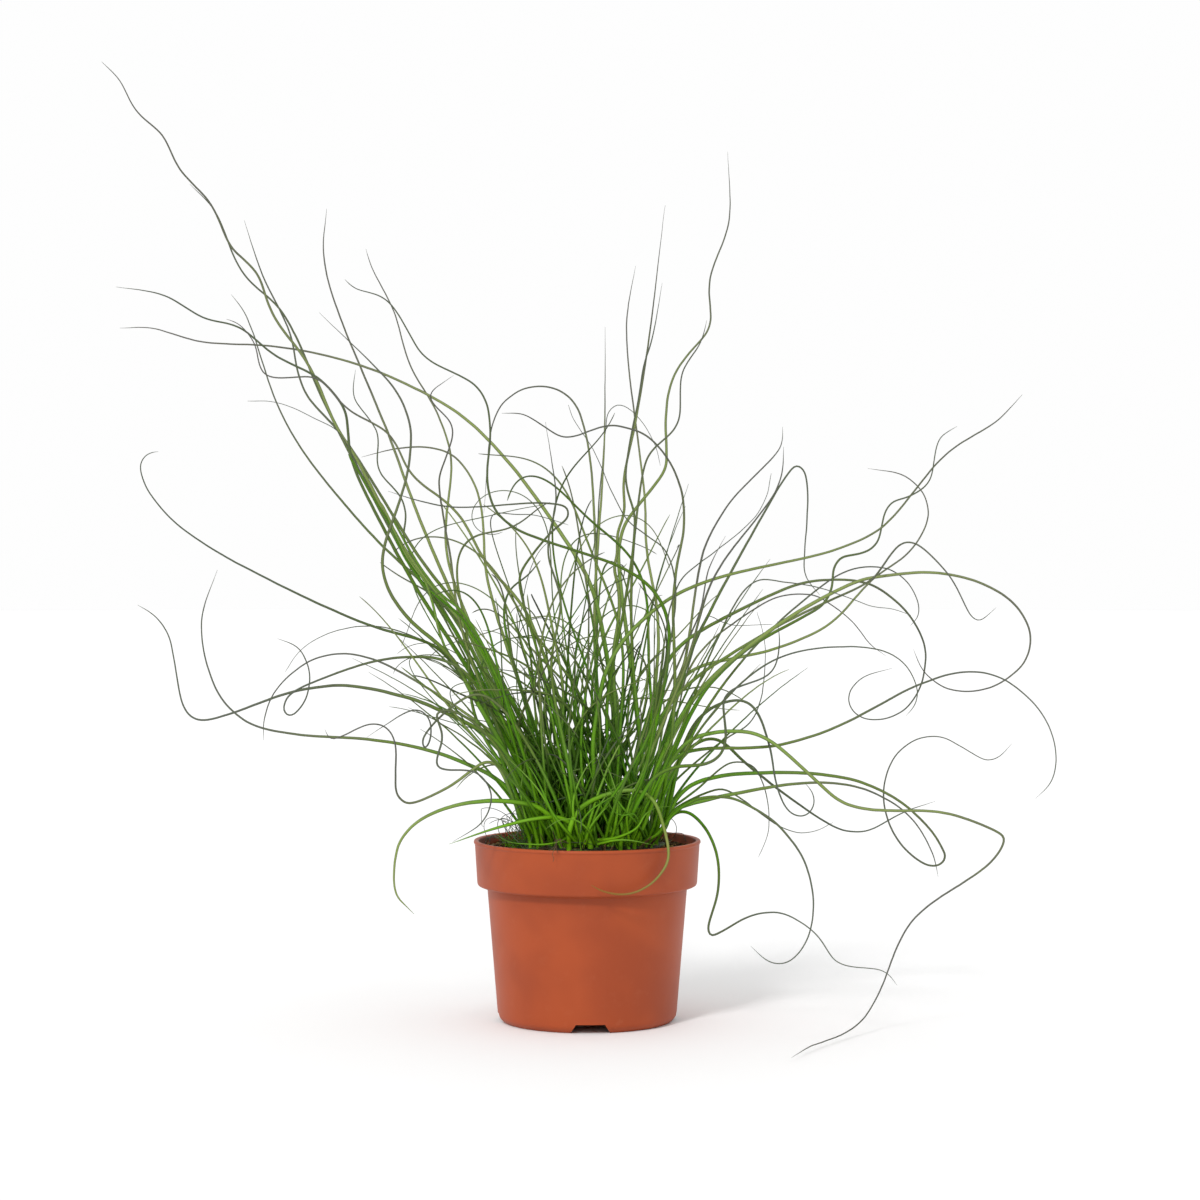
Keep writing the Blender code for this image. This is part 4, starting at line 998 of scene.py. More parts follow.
@dataclass
class NurseryPot:
    """The tapered plastic pot with its deep collar, foot ring, notches and drain holes."""

    rim_radius: float = 60.0 * MM
    height: float = 95.5 * MM
    collar_foot: float = 71.5 * MM
    collar_foot_radius: float = 58.0 * MM
    body_top_radius: float = 52.9 * MM
    body_foot_radius: float = 47.0 * MM
    wall: float = 1.3 * MM
    floor_height: float = 4.8 * MM
    foot_ring_inner: float = 41.0 * MM
    pad_radius: float = 8.0 * MM
    openings: int = 4
    notch_turn: float = math.radians(2.0)
    notch_top_width: float = 15.0 * MM
    notch_foot_width: float = 20.6 * MM
    drain_radius: float = 3.5 * MM
    drain_circle: float = 28.0 * MM
    drain_sides: int = 32
    turns: int = 160

    def body_radius(self, height: float) -> float:
        """The body's outer radius at a height."""
        widening = (self.body_top_radius - self.body_foot_radius) * height / self.collar_foot
        return self.body_foot_radius + widening

    def collar_radius(self, height: float) -> float:
        """Measure the collar.

        Args:
            height: The height.

        Returns:
            Its outer radius there.
        """
        share = (height - self.collar_foot) / (self.height - self.collar_foot)
        flare = self.rim_radius - 0.5 * MM - self.collar_foot_radius
        return self.collar_foot_radius + flare * share

    def profile(self) -> list[Range]:
        """Draw the pot's section.

        Returns:
            Its (radius, height) points, from the underside's middle round to the floor's middle.
        """
        foot, top = self.collar_foot, self.height
        floor_top = self.floor_height + self.wall
        return rounded([
            (0, 0, 0),
            (self.pad_radius, 0, 0.5 * MM),
            (self.pad_radius + 0.8 * MM, self.floor_height, 0.5 * MM),
            (self.foot_ring_inner - 0.6 * MM, self.floor_height, 0.5 * MM),
            (self.foot_ring_inner, 0, 0.6 * MM),
            (self.body_foot_radius - 2.4 * MM, 0, 0.8 * MM),
            (self.body_radius(2.6 * MM), 2.6 * MM, 2.4 * MM),
            (self.body_radius(foot - 1.5 * MM), foot - 1.5 * MM, 0),
            (self.body_radius(foot), foot, 0.35 * MM),
            (self.collar_foot_radius, foot, 1.7 * MM),
            (self.collar_radius(top - 2.0 * MM), top - 2.0 * MM, 0.5 * MM),
            (self.rim_radius, top - 1.3 * MM, 0.4 * MM),
            (self.rim_radius - 0.2 * MM, top, 0.6 * MM),
            (self.rim_radius - 2.6 * MM, top, 0.8 * MM),
            (self.collar_radius(foot) - self.wall - 0.3 * MM, foot + 1.2 * MM, 2.0 * MM),
            (self.body_radius(foot) - self.wall, foot - 1.6 * MM, 2.0 * MM),
            (self.body_radius(floor_top) - self.wall, floor_top, 2.0 * MM),
            (0, floor_top, 0),
        ])

    def notch(self, turn: float) -> bmesh.types.BMesh:
        """Shape what a notch takes out of the foot ring.

        Args:
            turn: Its direction, in radians from +X.

        Returns:
            A wedge that sticks out a little inside, outside and under the ring.
        """
        inner, outer = self.foot_ring_inner - 3 * MM, self.body_foot_radius + 4 * MM
        wide, narrow = self.notch_foot_width / 2 + 0.6 * MM, self.notch_top_width / 2
        top = self.floor_height - 0.1 * MM
        outline = [(-wide, -1 * MM), (wide, -1 * MM), (narrow, top), (-narrow, top)]
        mesh = bmesh.new()
        near = [mesh.verts.new((inner, across, height)) for across, height in outline]
        far = [mesh.verts.new((outer, across, height)) for across, height in outline]
        mesh.faces.new(near)
        mesh.faces.new(far)
        for k in range(len(outline)):
            mesh.faces.new((near[k], near[k - 1], far[k - 1], far[k]))
        bmesh.ops.recalc_face_normals(mesh, faces=mesh.faces)
        bmesh.ops.rotate(mesh, cent=(0, 0, 0), matrix=Matrix.Rotation(turn, 3, "Z"),
                         verts=mesh.verts)
        return mesh

    def drain(self, turn: float) -> bmesh.types.BMesh:
        """Shape what a drain hole takes out of the floor.

        Args:
            turn: Its direction, in radians from +X.

        Returns:
            A round plug through the floor.
        """
        mesh = bmesh.new()
        bmesh.ops.create_cone(mesh, cap_ends=True, segments=self.drain_sides,
                              radius1=self.drain_radius, radius2=self.drain_radius,
                              depth=4 * self.wall)
        centre = (self.drain_circle * math.cos(turn), self.drain_circle * math.sin(turn),
                  self.floor_height + self.wall / 2)
        bmesh.ops.translate(mesh, vec=centre, verts=mesh.verts)
        return mesh

    def build(self, finish: PotPlastic) -> bpy.types.Object:
        """Turn the pot, cut it and dress it.

        Args:
            finish: Its plastic.

        Returns:
            The pot.
        """
        material = finish.material()
        pot = to_object(lathe(self.profile(), self.turns), "nursery_pot", material)
        cutters = []
        for i in range(self.openings):
            notch = self.notch(self.notch_turn + math.tau * i / self.openings - math.pi / 2)
            cutters.append(to_object(notch, f"notch_cutter_{i + 1}", material))
            drain = self.drain(math.tau * (i + 0.5) / self.openings)
            cutters.append(to_object(drain, f"drain_cutter_{i + 1}", material))
        for cutter in cutters:
            modifier = pot.modifiers.new(cutter.name, "BOOLEAN")
            modifier.operation = "DIFFERENCE"
            modifier.object = cutter
        settle(pot).set_sharp_from_angle(angle=SHARP_ANGLE)
        for cutter in cutters:
            bpy.data.objects.remove(cutter, do_unlink=True)
        return put_on(pot, "terracotta_plastic", "pot")


@dataclass
class PottingSoil:
    """The soil: an uneven bed inside the pot, with crumbs, straws and roots on top."""

    radius: float = 56.6 * MM
    top: float = SOIL_TOP
    foot: float = 6.4 * MM
    foot_radius: float = 45.6 * MM
    waist: float = 70.0 * MM
    waist_radius: float = 51.2 * MM
    rings: int = 44
    turns: int = 144
    crumbs_per_square_metre: float = 330000.0
    smallest_crumb: float = 0.35 * MM
    largest_crumb: float = 1.5 * MM
    straw_count: int = 150
    straw_length_mm: Range = (4, 17)
    straw_width_mm: Range = (0.22, 0.8)
    straw_tilt: float = 0.18
    straw_vigour: Range = (0.0, 0.9)
    seed: int = 21

    def level(self, x: float, y: float) -> float:
        """Measure the bed at a place.

        Args:
            x: The place, to the right.
            y: The place, to the back.

        Returns:
            Its height, which falls near the pot's wall.
        """
        place = Vector((x, y, 0.0))
        lumps = noise.noise(place / (14 * MM))
        clods = noise.noise(place / (4 * MM) + Vector((9, 0, 0)))
        edge = max(0.0, math.hypot(x, y) / self.radius - 0.9) * 10
        return self.top + (1.5 * lumps + 0.8 * clods - 0.6 - 1.2 * edge) * MM

    def top_mesh(self) -> bmesh.types.BMesh:
        """Shape the bed's uneven top alone.

        Returns:
            An open mesh, whose last points are those round its edge.
        """
        mesh = bmesh.new()
        rows = []
        for k in range(self.rings + 1):
            places = circle(self.radius * k / self.rings, self.turns if k else 1)
            rows.append([mesh.verts.new((x, y, self.level(x, y))) for x, y in places])
        join_rows(mesh, rows)
        return mesh

    def bed(self) -> bmesh.types.BMesh:
        """Shape the whole bed.

        Returns:
            A mesh that is closed by its side and its flat foot.
        """
        mesh = self.top_mesh()
        rows = [list(mesh.verts)[-self.turns:]]
        for radius, height in ((self.waist_radius, self.waist), (self.foot_radius, self.foot)):
            rows.append([mesh.verts.new((x, y, height)) for x, y in circle(radius, self.turns)])
        join_rows(mesh, rows)
        mesh.faces.new(rows[-1])
        bmesh.ops.recalc_face_normals(mesh, faces=mesh.faces)
        return mesh

    def litter(self, chance: Random) -> list[Strand]:
        """Strew straws, bits of stem and roots, most of them near the pot's wall.

        Args:
            chance: Where their random numbers come from.

        Returns:
            The strands, which lie on the bed.
        """
        strands = []
        for _ in range(self.straw_count):
            turn = chance.uniform(0, math.tau)
            reach = self.radius * (0.55 + 0.40 * chance.uniform(0, 1) ** 0.7)
            foot = (reach * math.cos(turn), reach * math.sin(turn), 0)
            width = chance.uniform(*self.straw_width_mm)
            way = (chance.normal(), chance.normal(), self.straw_tilt * chance.normal())
            strand = free_strand(chance, foot, way, chance.uniform(*self.straw_length_mm) * MM,
                                 width, Habit.LITTER, chance.uniform(*self.straw_vigour), 1.2 * MM)
            points = strand.points
            points[:, 2] *= 0.35
            pull_in(points, self.radius - 0.8 * MM)
            bed = np.array([self.level(x, y) for x, y in points[:, :2]])
            points[:, 2] = points[:, 2] - points[:, 2].min() + bed + 0.3 * width * MM
            strands.append(strand)
        return strands

    def build(self, finish: SoilFinish, fibre: bpy.types.Material, crumbs: CrumbTree,
              sweep: StrandTree) -> None:
        """Lay the bed, strew it and dress it.

        Args:
            finish: The soil's finish.
            fibre: The litter's material.
            crumbs: What scatters the crumbs.
            sweep: What grows the litter.
        """
        material = finish.material()
        put_on(to_object(self.bed(), "soil_bed", material, math.pi), "potting_soil", "soil")
        ground = bpy.data.meshes.new("soil_ground")
        top = self.top_mesh()
        top.to_mesh(ground)
        top.free()
        sizes = {"Density": self.crumbs_per_square_metre, "Smallest": self.smallest_crumb,
                 "Largest": self.largest_crumb, "Seed": self.seed, "Material": material}
        put_on(crumbs.shape("soil_crumbs", ground, sizes), "potting_soil")
        litter = self.litter(np.random.default_rng(self.seed))
        put_on(sweep.grow("soil_litter", litter, fibre, 6, 1.2 * MM), "potting_soil")


@dataclass
class TracedStems:
    """The long stems that stand alone: each follows its own solid, as a smooth round stem."""

    sides: int = 8
    spacing: float = 1.5 * MM
    rooted: float = 3.5 * MM
    waver: float = 0.5 * MM
    slimming: float = 0.21
    tip_share: float = 0.16
    tip_width: float = 0.40 * MM
    foot_tolerance: float = 0.01 * MM
    line_spacing: float = 2.0 * MM
    line_passes: int = 3
    freshness: Range = (0.88, 1.14)
    greying: float = 0.22
    shades: Range = (0.40, 1.0)
    blade_vigour: float = 1.15
    seed: int = 5

    # The stems that differ, by number: how fresh each one is, and its width as a share of its
    # solid's. Those over blade_vigour are blades, which aren't slimmed.
    MARKED = {
        1: (1.05, 1.15), 2: (1.10, 1.15), 3: (1.00, 1.12), 4: (1.05, 1.12), 5: (1.05, 1.10),
        8: (1.00, 1.18), 9: (1.00, 1.15), 15: (1.18, 1.00), 24: (1.48, 1.15), 25: (1.85, 1.00),
        26: (1.15, 1.00), 28: (1.10, 1.00), 44: (0.74, 0.84), 46: (0.70, 0.82), 47: (0.78, 0.90),
        48: (0.62, 0.80), 51: (0.70, 0.80), 52: (0.85, 0.90), 53: (0.80, 0.85), 54: (0.60, 0.70),
        55: (0.65, 0.85), 57: (1.55, 1.15),
    }

    # How far a stem's tip has turned to straw, by its number.
    WITHERED = {57: 1.2}

    # The numbers of the stems that have greyed most.
    GREYED = (*range(16, 24), *range(35, 39), *range(46, 57))

    def slim(self, strand: Strand) -> None:
        """Thin a strand towards its tip, more finely than its solid is.

        Args:
            strand: The strand, which is changed.
        """
        along = strand.along()
        girths = strand.girths * (1 - self.slimming * along ** 1.5)
        limit = self.tip_width / 2 + (1 - along) / self.tip_share * girths
        strand.girths = np.minimum(girths, limit)

    def read(self, node: bpy.types.Object) -> tuple[np.ndarray, np.ndarray]:
        """Read a stem's centreline and radii from its solid.

        Args:
            node: The solid, whose rings of points stand one above the other up to a tip.

        Returns:
            The points, with the foot let a little way into the crown, and the radii.
        """
        mesh = node.data
        corners = np.array([vertex.co[:] for vertex in mesh.vertices])
        _, first, owner = np.unique(np.round(corners, 6), axis=0, return_index=True,
                                    return_inverse=True)
        places, owner = corners[first], owner.reshape(-1)
        beside: list[set[int]] = [set() for _ in places]
        for face in mesh.polygons:
            ends = {int(owner[vertex]) for vertex in face.vertices}
            for end in ends:
                beside[end] |= ends - {end}
        raised = np.abs(places[:, 2] - CROWN_TOP) > self.foot_tolerance
        ring = set(np.argsort(np.hypot(places[:, 0], places[:, 1]) + raised)[:CORNERS].tolist())
        passed, centres, radii = set(), [], []
        while ring:
            spots = places[sorted(ring)]
            centre = spots.mean(axis=0)
            centres.append(centre)
            radii.append(np.linalg.norm(spots - centre, axis=1).mean() / CORNER_SHARE)
            passed |= ring
            ring = set().union(*(beside[end] for end in ring)) - passed
        radii[-1] = TIP_RADIUS
        foot = centres[0] - np.array([0, 0, self.rooted])
        return np.vstack([foot, *centres]), np.array([radii[0], *radii])

    def build(self, nodes: Mapping[str, bpy.types.Object], skin: bpy.types.Material,
              sweep: StrandTree) -> None:
        """Sweep every stem over its solid.

        Args:
            nodes: The solids, by name.
            skin: The stems' material.
            sweep: What grows them.
        """
        chance = np.random.default_rng(self.seed)
        for name in sorted(name for name in nodes if name.startswith("stem_")):
            number = int(name[-2:])
            vigour, shade = chance.uniform(*self.freshness), chance.uniform(*self.shades)
            if number in self.GREYED:
                vigour -= self.greying
            vigour, width = self.MARKED.get(number, (vigour, 1.0))
            points, radii = self.read(nodes[name])
            line = catmull_rom(np.column_stack([points, radii]), self.line_spacing)
            line = evened(line, self.line_passes)
            strand = Strand(line[:, :3], line[:, 3] * width, vigour, shade,
                            self.WITHERED.get(number, 0.0))
            if vigour > self.blade_vigour:
                strand.shade = 1.0
            else:
                self.slim(strand)
            piece = sweep.grow("rush_" + name, [strand], skin, self.sides, self.spacing, self.waver)
            put_on(piece, "rush_green", name)


@dataclass
class RushCrown:
    """The crown: a low matted mound, the short shoots that fill the tuft, and its fine wisps.

    Its middle is offset a little to the right of the pot's. The inner stems follow the solid's.
    """

    radius: float = 40.0 * MM
    top: float = 96.2 * MM
    under: float = SOIL_TOP - 1.5 * MM
    rings: int = 22
    turns: int = 96
    reach: float = 35.0 * MM
    offset: float = 2.0 * MM
    bedded: float = 3.5 * MM
    cone_slope: float = 0.8
    inner_count: int = 26
    inner_length_mm: Range = (90, 215)
    inner_foot: float = 94 * MM
    inner_reach_mm: float = 33.0
    inner_seed: int = 7
    young_count: int = 72
    young_length_mm: Range = (50, 170)
    young_width_mm: Range = (1.5, 2.4)
    young_stray: float = 0.13
    young_vigour: float = 1.76
    young_fading: float = 2.2
    sprig_count: int = 96
    sprig_length_mm: Range = (28, 95)
    sprig_width_mm: Range = (1.4, 2.6)
    sprig_vigour: Range = (1.05, 1.75)
    sprig_reach: float = 50.0 * MM
    curl_length_mm: Range = (130, 290)
    curl_vigour: Range = (1.20, 1.62)
    curl_shade: Range = (0.2, 1.0)
    curl_left: float = -118.0 * MM
    curl_right: float = 52.0 * MM
    curl_depth: float = 124.0 * MM
    curl_top: float = 318.0 * MM
    curl_tip_least: float = 150.0 * MM
    arch_count: int = 42
    arch_width_mm: Range = (1.6, 2.3)
    arch_tip_mm: Range = (0.40, 0.70)
    arch_stray: float = 0.16
    wisp_count: int = 30
    wisp_width_mm: Range = (0.8, 1.2)
    wisp_tip_mm: Range = (0.30, 0.45)
    wisp_stray: float = 0.30
    tangle_count: int = 52
    tangle_at_left: int = 38
    tangle_turn: float = math.radians(200)
    tangle_length_mm: Range = (18, 64)
    tangle_reach_mm: Range = (36, 47)
    tangle_limit: float = 56.0 * MM
    tangle_foot: float = 93.5 * MM
    tangle_least: float = 92.8 * MM
    tangle_width_mm: float = 0.42
    tangle_vigour: Range = (0.15, 0.45)
    stub_count: int = 110
    stub_length_mm: Range = (4, 14)
    stub_width_mm: Range = (0.8, 2.0)
    stub_vigour: Range = (0.0, 0.62)
    rootlet_vigour: Range = (0.05, 0.25)
    fine_vigour: float = 0.85
    blade_vigour: float = 1.8
    bright_vigour: float = 1.66
    inner_vigour: float = 1.30
    seed: int = 11

    # Fine stems: thickness at the foot and the route, in millimetres, as seen from the front.
    FINE_MM = (
        (2.0, [(2, 93, 34), (5, 150), (5, 200), (5, 250), (6.3, 275, 66), (8.3, 296), (9.5, 311),
               (11.3, 321), (16, 324.8), (21.5, 323.2), (27, 318.3), (32, 311.5), (36.5, 302),
               (38.5, 293, 84)]),
        (1.8, [(10, 93, -33), (30, 130), (38, 180), (45, 222, -66), (51, 234.5), (59, 241.5),
               (70, 249.5), (82, 259.5), (90, 268), (95, 278), (97, 289, -96)]),
        (2.0, [(-32, 93, 16), (-46, 140), (-60, 176), (-76, 195, 44), (-91, 202.5), (-107, 207.7),
               (-122, 208), (-137, 204.3), (-147, 199), (-154, 192.5), (-159.5, 184, 64)]),
        (1.8, [(22, 93, 21), (42, 140), (53, 185), (60, 207), (64, 213.7, 54), (70, 211),
               (78, 208.7), (88, 208.9), (98, 209.3, 66)]),
        (1.8, [(22, 93, -29), (48, 150), (68, 200), (82, 226, -70), (91, 232.7), (104, 231.5),
               (120, 229.3), (135, 224.3), (150, 219), (162, 217.2), (171, 214, -100)]),
        (1.8, [(-4, 93, -35), (32, 150), (44, 200), (46.5, 232, -84), (41, 248.5), (31, 256.5),
               (21.5, 264), (13.5, 278), (8, 291), (2.5, 302.5), (-3.5, 311.5), (-8, 319),
               (-10, 325, -100)]),
        (1.8, [(17, 93, 26), (28, 108), (48, 128), (72, 148, 66), (86, 157.5), (91.5, 169),
               (93.5, 183), (94, 196), (92.5, 206), (89.5, 216, 84)]),
        (1.8, [(-24, 93, 26), (-44, 145), (-66, 195), (-92, 240), (-114, 278, -20), (-125, 301),
               (-132, 311.5), (-142, 317), (-153, 322.5), (-165, 326.5), (-179, 327, -44)]),
        (1.8, [(27, 93, 12), (38, 106), (58, 122), (76, 136), (87, 134.5, 30), (93, 125), (96, 111),
               (95.5, 98), (90.5, 86, 44)]),
        (1.8, [(29, 93, -3), (39, 106), (56, 117), (71, 122, -14), (82, 116.5), (92, 109),
               (103, 101.8), (113, 99), (122, 100.5), (130, 104.5, -30)]),
    )

    # Short bright blades at the front of the tuft, drawn the same way.
    BLADES_MM = (
        (1.9, [(6, 93, -40), (10, 94, -44), (15, 95, -47), (22.5, 95, -48), (34, 92.8, -46)]),
        (1.6, [(-9, 98, -30), (-13, 95, -40), (-21, 93, -46), (-31, 93, -46), (-42, 94.5, -38),
               (-49, 99, -28)]),
        (2.7, [(0, 92, -30), (4, 107, -36), (7, 114, -38), (12, 121, -36), (18, 126, -32)]),
        (2.3, [(6, 95, -34), (16, 96.5, -40), (26, 101.5, -44), (31, 109, -44), (36, 112, -40),
               (44, 113, -36)]),
        (1.8, [(22, 95, -34), (21, 108, -40), (24, 120, -42), (30, 131, -42), (36, 140, -38)]),
        (2.3, [(-14, 94, -32), (-18, 108, -40), (-26, 122, -42), (-36, 133, -40), (-44, 140, -34)]),
        (2.0, [(-26, 94, -22), (-32, 106, -32), (-35, 120, -34), (-33, 136, -32)]),
        (2.4, [(12, 93, -33), (15, 104, -38), (16, 116, -40), (13, 128, -38), (8, 140, -32)]),
        (2.6, [(-3, 94, -34), (-6.5, 104, -38), (-7.5, 114, -40), (-5, 124.5, -40), (1, 135.5, -37),
               (7.5, 141, -34)]),
        (2.4, [(-1, 93.4, -40), (1.2, 101, -44), (6, 108, -46), (11.5, 113.5, -44)]),
        (1.7, [(4, 93, -38), (0, 101, -46), (-7, 106, -50), (-15, 105.5, -52), (-22, 101, -52)]),
    )

    # The places where shoots gather: x, y and height, in millimetres.
    TUFTS_MM = ((-84, -20, 228), (-50, 8, 216), (-46, -16, 212), (-48, -30, 218), (-42, -8, 222),
                (-46, -6, 206), (-66, -14, 200), (-24, -12, 238), (2, -22, 200), (-2, -14, 196),
                (4, 10, 226), (16, -6, 222), (18, 4, 236), (36, -8, 228), (30, -14, 182),
                (36, 10, 196), (40, -10, 172))

    # The bright stems that lie as one ribbon in the bundle at the left, drawn the same way.
    RIBBON_MM = (
        (1.6, [(-22, 94, -8), (-31, 122), (-40, 149), (-51, 169), (-64, 182), (-72.5, 192),
               (-77, 202), (-80, 213), (-82, 222), (-85.5, 231.8), (-91, 239), (-96, 247),
               (-100.5, 256), (-104.5, 265), (-109, 274, -58)]),
        (1.7, [(-24, 94, -12), (-32, 122), (-39, 148), (-45, 170), (-51.5, 188), (-60, 202.5),
               (-67, 213.5), (-75.5, 221), (-84, 228), (-90, 235.5), (-95, 243), (-99.5, 251.5),
               (-103.5, 261), (-110, 271.5), (-119, 287), (-126, 299, -62)]),
        (1.5, [(-19, 94, -14), (-26, 118), (-34, 143), (-41, 166), (-49, 184), (-56, 200),
               (-66, 216), (-77, 225), (-86, 236.5), (-92.5, 246.5), (-98, 256.5),
               (-103, 266, -60)]),
    )
    RIBBON_SHADES = (0.85, 0.35, 0.60)

    # Blades that cross in front of the others at the crown's foot, drawn the same way.
    CROSSING_MM = (
        (1.8, [(-2, 94, -36), (-3.4, 103, -42), (2, 111, -45), (8, 115, -46), (14, 118.3, -46),
               (20, 119.3, -44), (26, 118.5, -42)]),
        (1.3, [(24, 94, -33), (27, 104, -40), (24.5, 109, -45), (19, 108.2, -47), (14, 110.5, -47),
               (11, 116, -46), (9, 124, -44)]),
        (2.2, [(-6, 94, -36), (-12, 101, -42), (-18.6, 110, -45), (-24, 122, -45),
               (-29, 131.5, -44), (-34, 137.5, -42), (-41, 142.5, -38)]),
        (1.7, [(31, 95, -22), (27, 103, -38), (19, 112, -45), (11, 124, -45), (6, 137, -42),
               (4, 148, -38)]),
    )

    # The brown rootlets that hang over the rim at the front, drawn the same way.
    ROOTLETS_MM = (
        (0.55, [(-10, 93.4, -52), (-13, 95.0, -57.5), (-15, 95.6, -60), (-16.5, 92, -61.2),
                (-15.4, 88, -61)]),
        (0.45, [(-18, 93.6, -50), (-16.8, 95.2, -56), (-16.2, 95.8, -59.6), (-17.6, 91.5, -61.0),
                (-20.4, 89.5, -60.8)]),
        (0.40, [(-14, 93.4, -52), (-14.6, 95.4, -58), (-14.4, 95.7, -60), (-13.2, 91.5, -61.2),
                (-11.2, 90.6, -61.6)]),
        (0.35, [(-16.5, 92, -61.2), (-18.4, 87.6, -60.6), (-17.6, 85.2, -60.6),
                (-18.2, 83.6, -60.6)]),
    )

    def mound(self) -> bmesh.types.BMesh:
        """Heap the matted mound on the soil.

        Returns:
            A closed mesh, whose flat underside lies in the soil.
        """
        mesh = bmesh.new()
        rows = [[mesh.verts.new((0, 0, self.top))]]
        for k in range(1, self.rings + 1):
            share = k / self.rings
            row = []
            for i in range(self.turns):
                turn = math.tau * i / self.turns
                lobes = 1 + 0.03 * math.sin(3 * turn + 1) + 0.02 * math.sin(7 * turn)
                reach = self.radius * share * lobes
                place = Vector((reach * math.cos(turn), reach * math.sin(turn), 0))
                rough = 1.1 * noise.noise(place / (5 * MM)) + 0.7 * noise.noise(place / (1.8 * MM))
                fall = 3.0 * MM * share ** 2.5
                height = self.top - fall + (rough - 0.5) * MM * (1 - 0.5 * share)
                row.append(mesh.verts.new((place.x, place.y, height)))
            rows.append(row)
        rows.append([mesh.verts.new((0.98 * above.co.x, 0.98 * above.co.y, self.under))
                     for above in rows[-1]])
        join_rows(mesh, rows)
        mesh.faces.new(rows[-1])
        bmesh.ops.recalc_face_normals(mesh, faces=mesh.faces)
        return mesh

    def foot(self, chance: Random, share: float = 1.0) -> tuple[np.ndarray, np.ndarray]:
        """Pick a foot on the mound.

        Args:
            chance: Where its random numbers come from.
            share: How far out it may stand, as a share of the crown's reach.

        Returns:
            The foot, and the level way out from the axis there.
        """
        turn = chance.uniform(0, math.tau)
        out = np.array([math.cos(turn), math.sin(turn), 0.0])
        reach = self.reach * share * math.sqrt(chance.uniform(0.0, 1.0))
        centre = np.array([self.offset, 0, self.top - self.bedded])
        return out * reach + centre, out * reach / self.reach

    def lean(self, chance: Random, foot: np.ndarray, stray: float) -> np.ndarray:
        """Pick one of the places where shoots gather.

        Args:
            chance: Where its random numbers come from.
            foot: The shoot's foot.
            stray: How far the shoot strays from the way there, as a share of it.

        Returns:
            The way that the shoot sets out.
        """
        way = np.array(self.TUFTS_MM[chance.integers(len(self.TUFTS_MM))]) * MM - foot
        return way / np.linalg.norm(way) + stray * chance.normal(size=3)

    def rises(self, points: np.ndarray) -> bool:
        """Tell whether a shoot stays over a cone that opens upward from the crown's edge.

        Args:
            points: The shoot's points.

        Returns:
            Whether it does, its foot aside.
        """
        out = np.hypot(points[:, 0], points[:, 1]) - self.radius
        lowest = self.top + self.cone_slope * out
        return bool((points[4:, 2] > lowest[4:]).all())

    def inner(self) -> list[Strand]:
        """Grow the short inner stems that the crown's solid has.

        Returns:
            The strands.
        """
        chance = np.random.default_rng(self.inner_seed)
        strands = []
        for number in range(self.inner_count):
            turn = number * math.pi * (3 - math.sqrt(5))
            share = math.sqrt((number + 0.5) / self.inner_count)
            out = np.array([math.cos(turn), math.sin(turn), 0])
            side = np.array([-out[1], out[0], 0])
            lean = math.radians(5 + 36 * share * chance.uniform(0.6, 1.0))
            length = chance.uniform(*self.inner_length_mm) * (1 - 0.25 * share) * MM
            sway, twist = chance.uniform(-12, 12) * MM, chance.uniform(0, math.tau)
            centre = np.array([self.offset, 0, self.inner_foot])
            base = out * self.inner_reach_mm * MM * share + centre
            t = np.linspace(0, 1, 14)
            bend = lean * (1 + 0.5 * t)
            rise = np.sin(bend)[:, None] * out + np.cos(bend)[:, None] * np.array([0, 0, 1])
            swayed = (sway * t * np.sin(twist + 5 * t))[:, None] * side
            girths = tapered(t, 0.76 * (2 * chance.uniform(1.1, 1.45)), 0.4)
            strands.append(Strand(base + length * t[:, None] * rise + swayed, girths,
                                  self.inner_vigour, (number * 0.382) % 1.0))
        return strands

    def young(self, chance: Random) -> list[Strand]:
        """Grow more shoots, which fill the tuft's lower half.

        Args:
            chance: Where their random numbers come from.

        Returns:
            Shoots of all lengths that lean to the gathering places, the shorter the fresher.
        """
        strands = []
        while len(strands) < self.young_count:
            foot, _ = self.foot(chance)
            length = chance.uniform(*self.young_length_mm) * MM
            strand = free_strand(chance, foot, self.lean(chance, foot, self.young_stray),
                                 length, chance.uniform(*self.young_width_mm), Habit.UPRIGHT,
                                 self.young_vigour - self.young_fading * length
                                 + chance.uniform(-0.12, 0.12))
            strand.shade = chance.uniform(0.0, 1.0)
            if self.rises(strand.points):
                strands.append(strand)
        return strands

    def sprigs(self, chance: Random) -> list[Strand]:
        """Grow the short curly sprigs low in the tuft.

        Args:
            chance: Where their random numbers come from.

        Returns:
            Those sprigs that stay over the mound.
        """
        strands = []
        for _ in range(self.sprig_count):
            foot, out = self.foot(chance)
            way = 0.25 * out + np.array([0, 0, 1.0]) + 0.50 * chance.normal(size=3)
            length = chance.uniform(*self.sprig_length_mm) * MM
            strand = free_strand(chance, foot, way, length, chance.uniform(*self.sprig_width_mm),
                                 Habit.SPRIG, chance.uniform(*self.sprig_vigour))
            strand.shade = chance.uniform(0.0, 1.0)
            reach = np.hypot(strand.points[:, 0], strand.points[:, 1])
            lowest = strand.points[2:, 2].min()
            if lowest > self.top - 1 * MM and reach.max() < self.sprig_reach:
                strands.append(strand)
        return strands

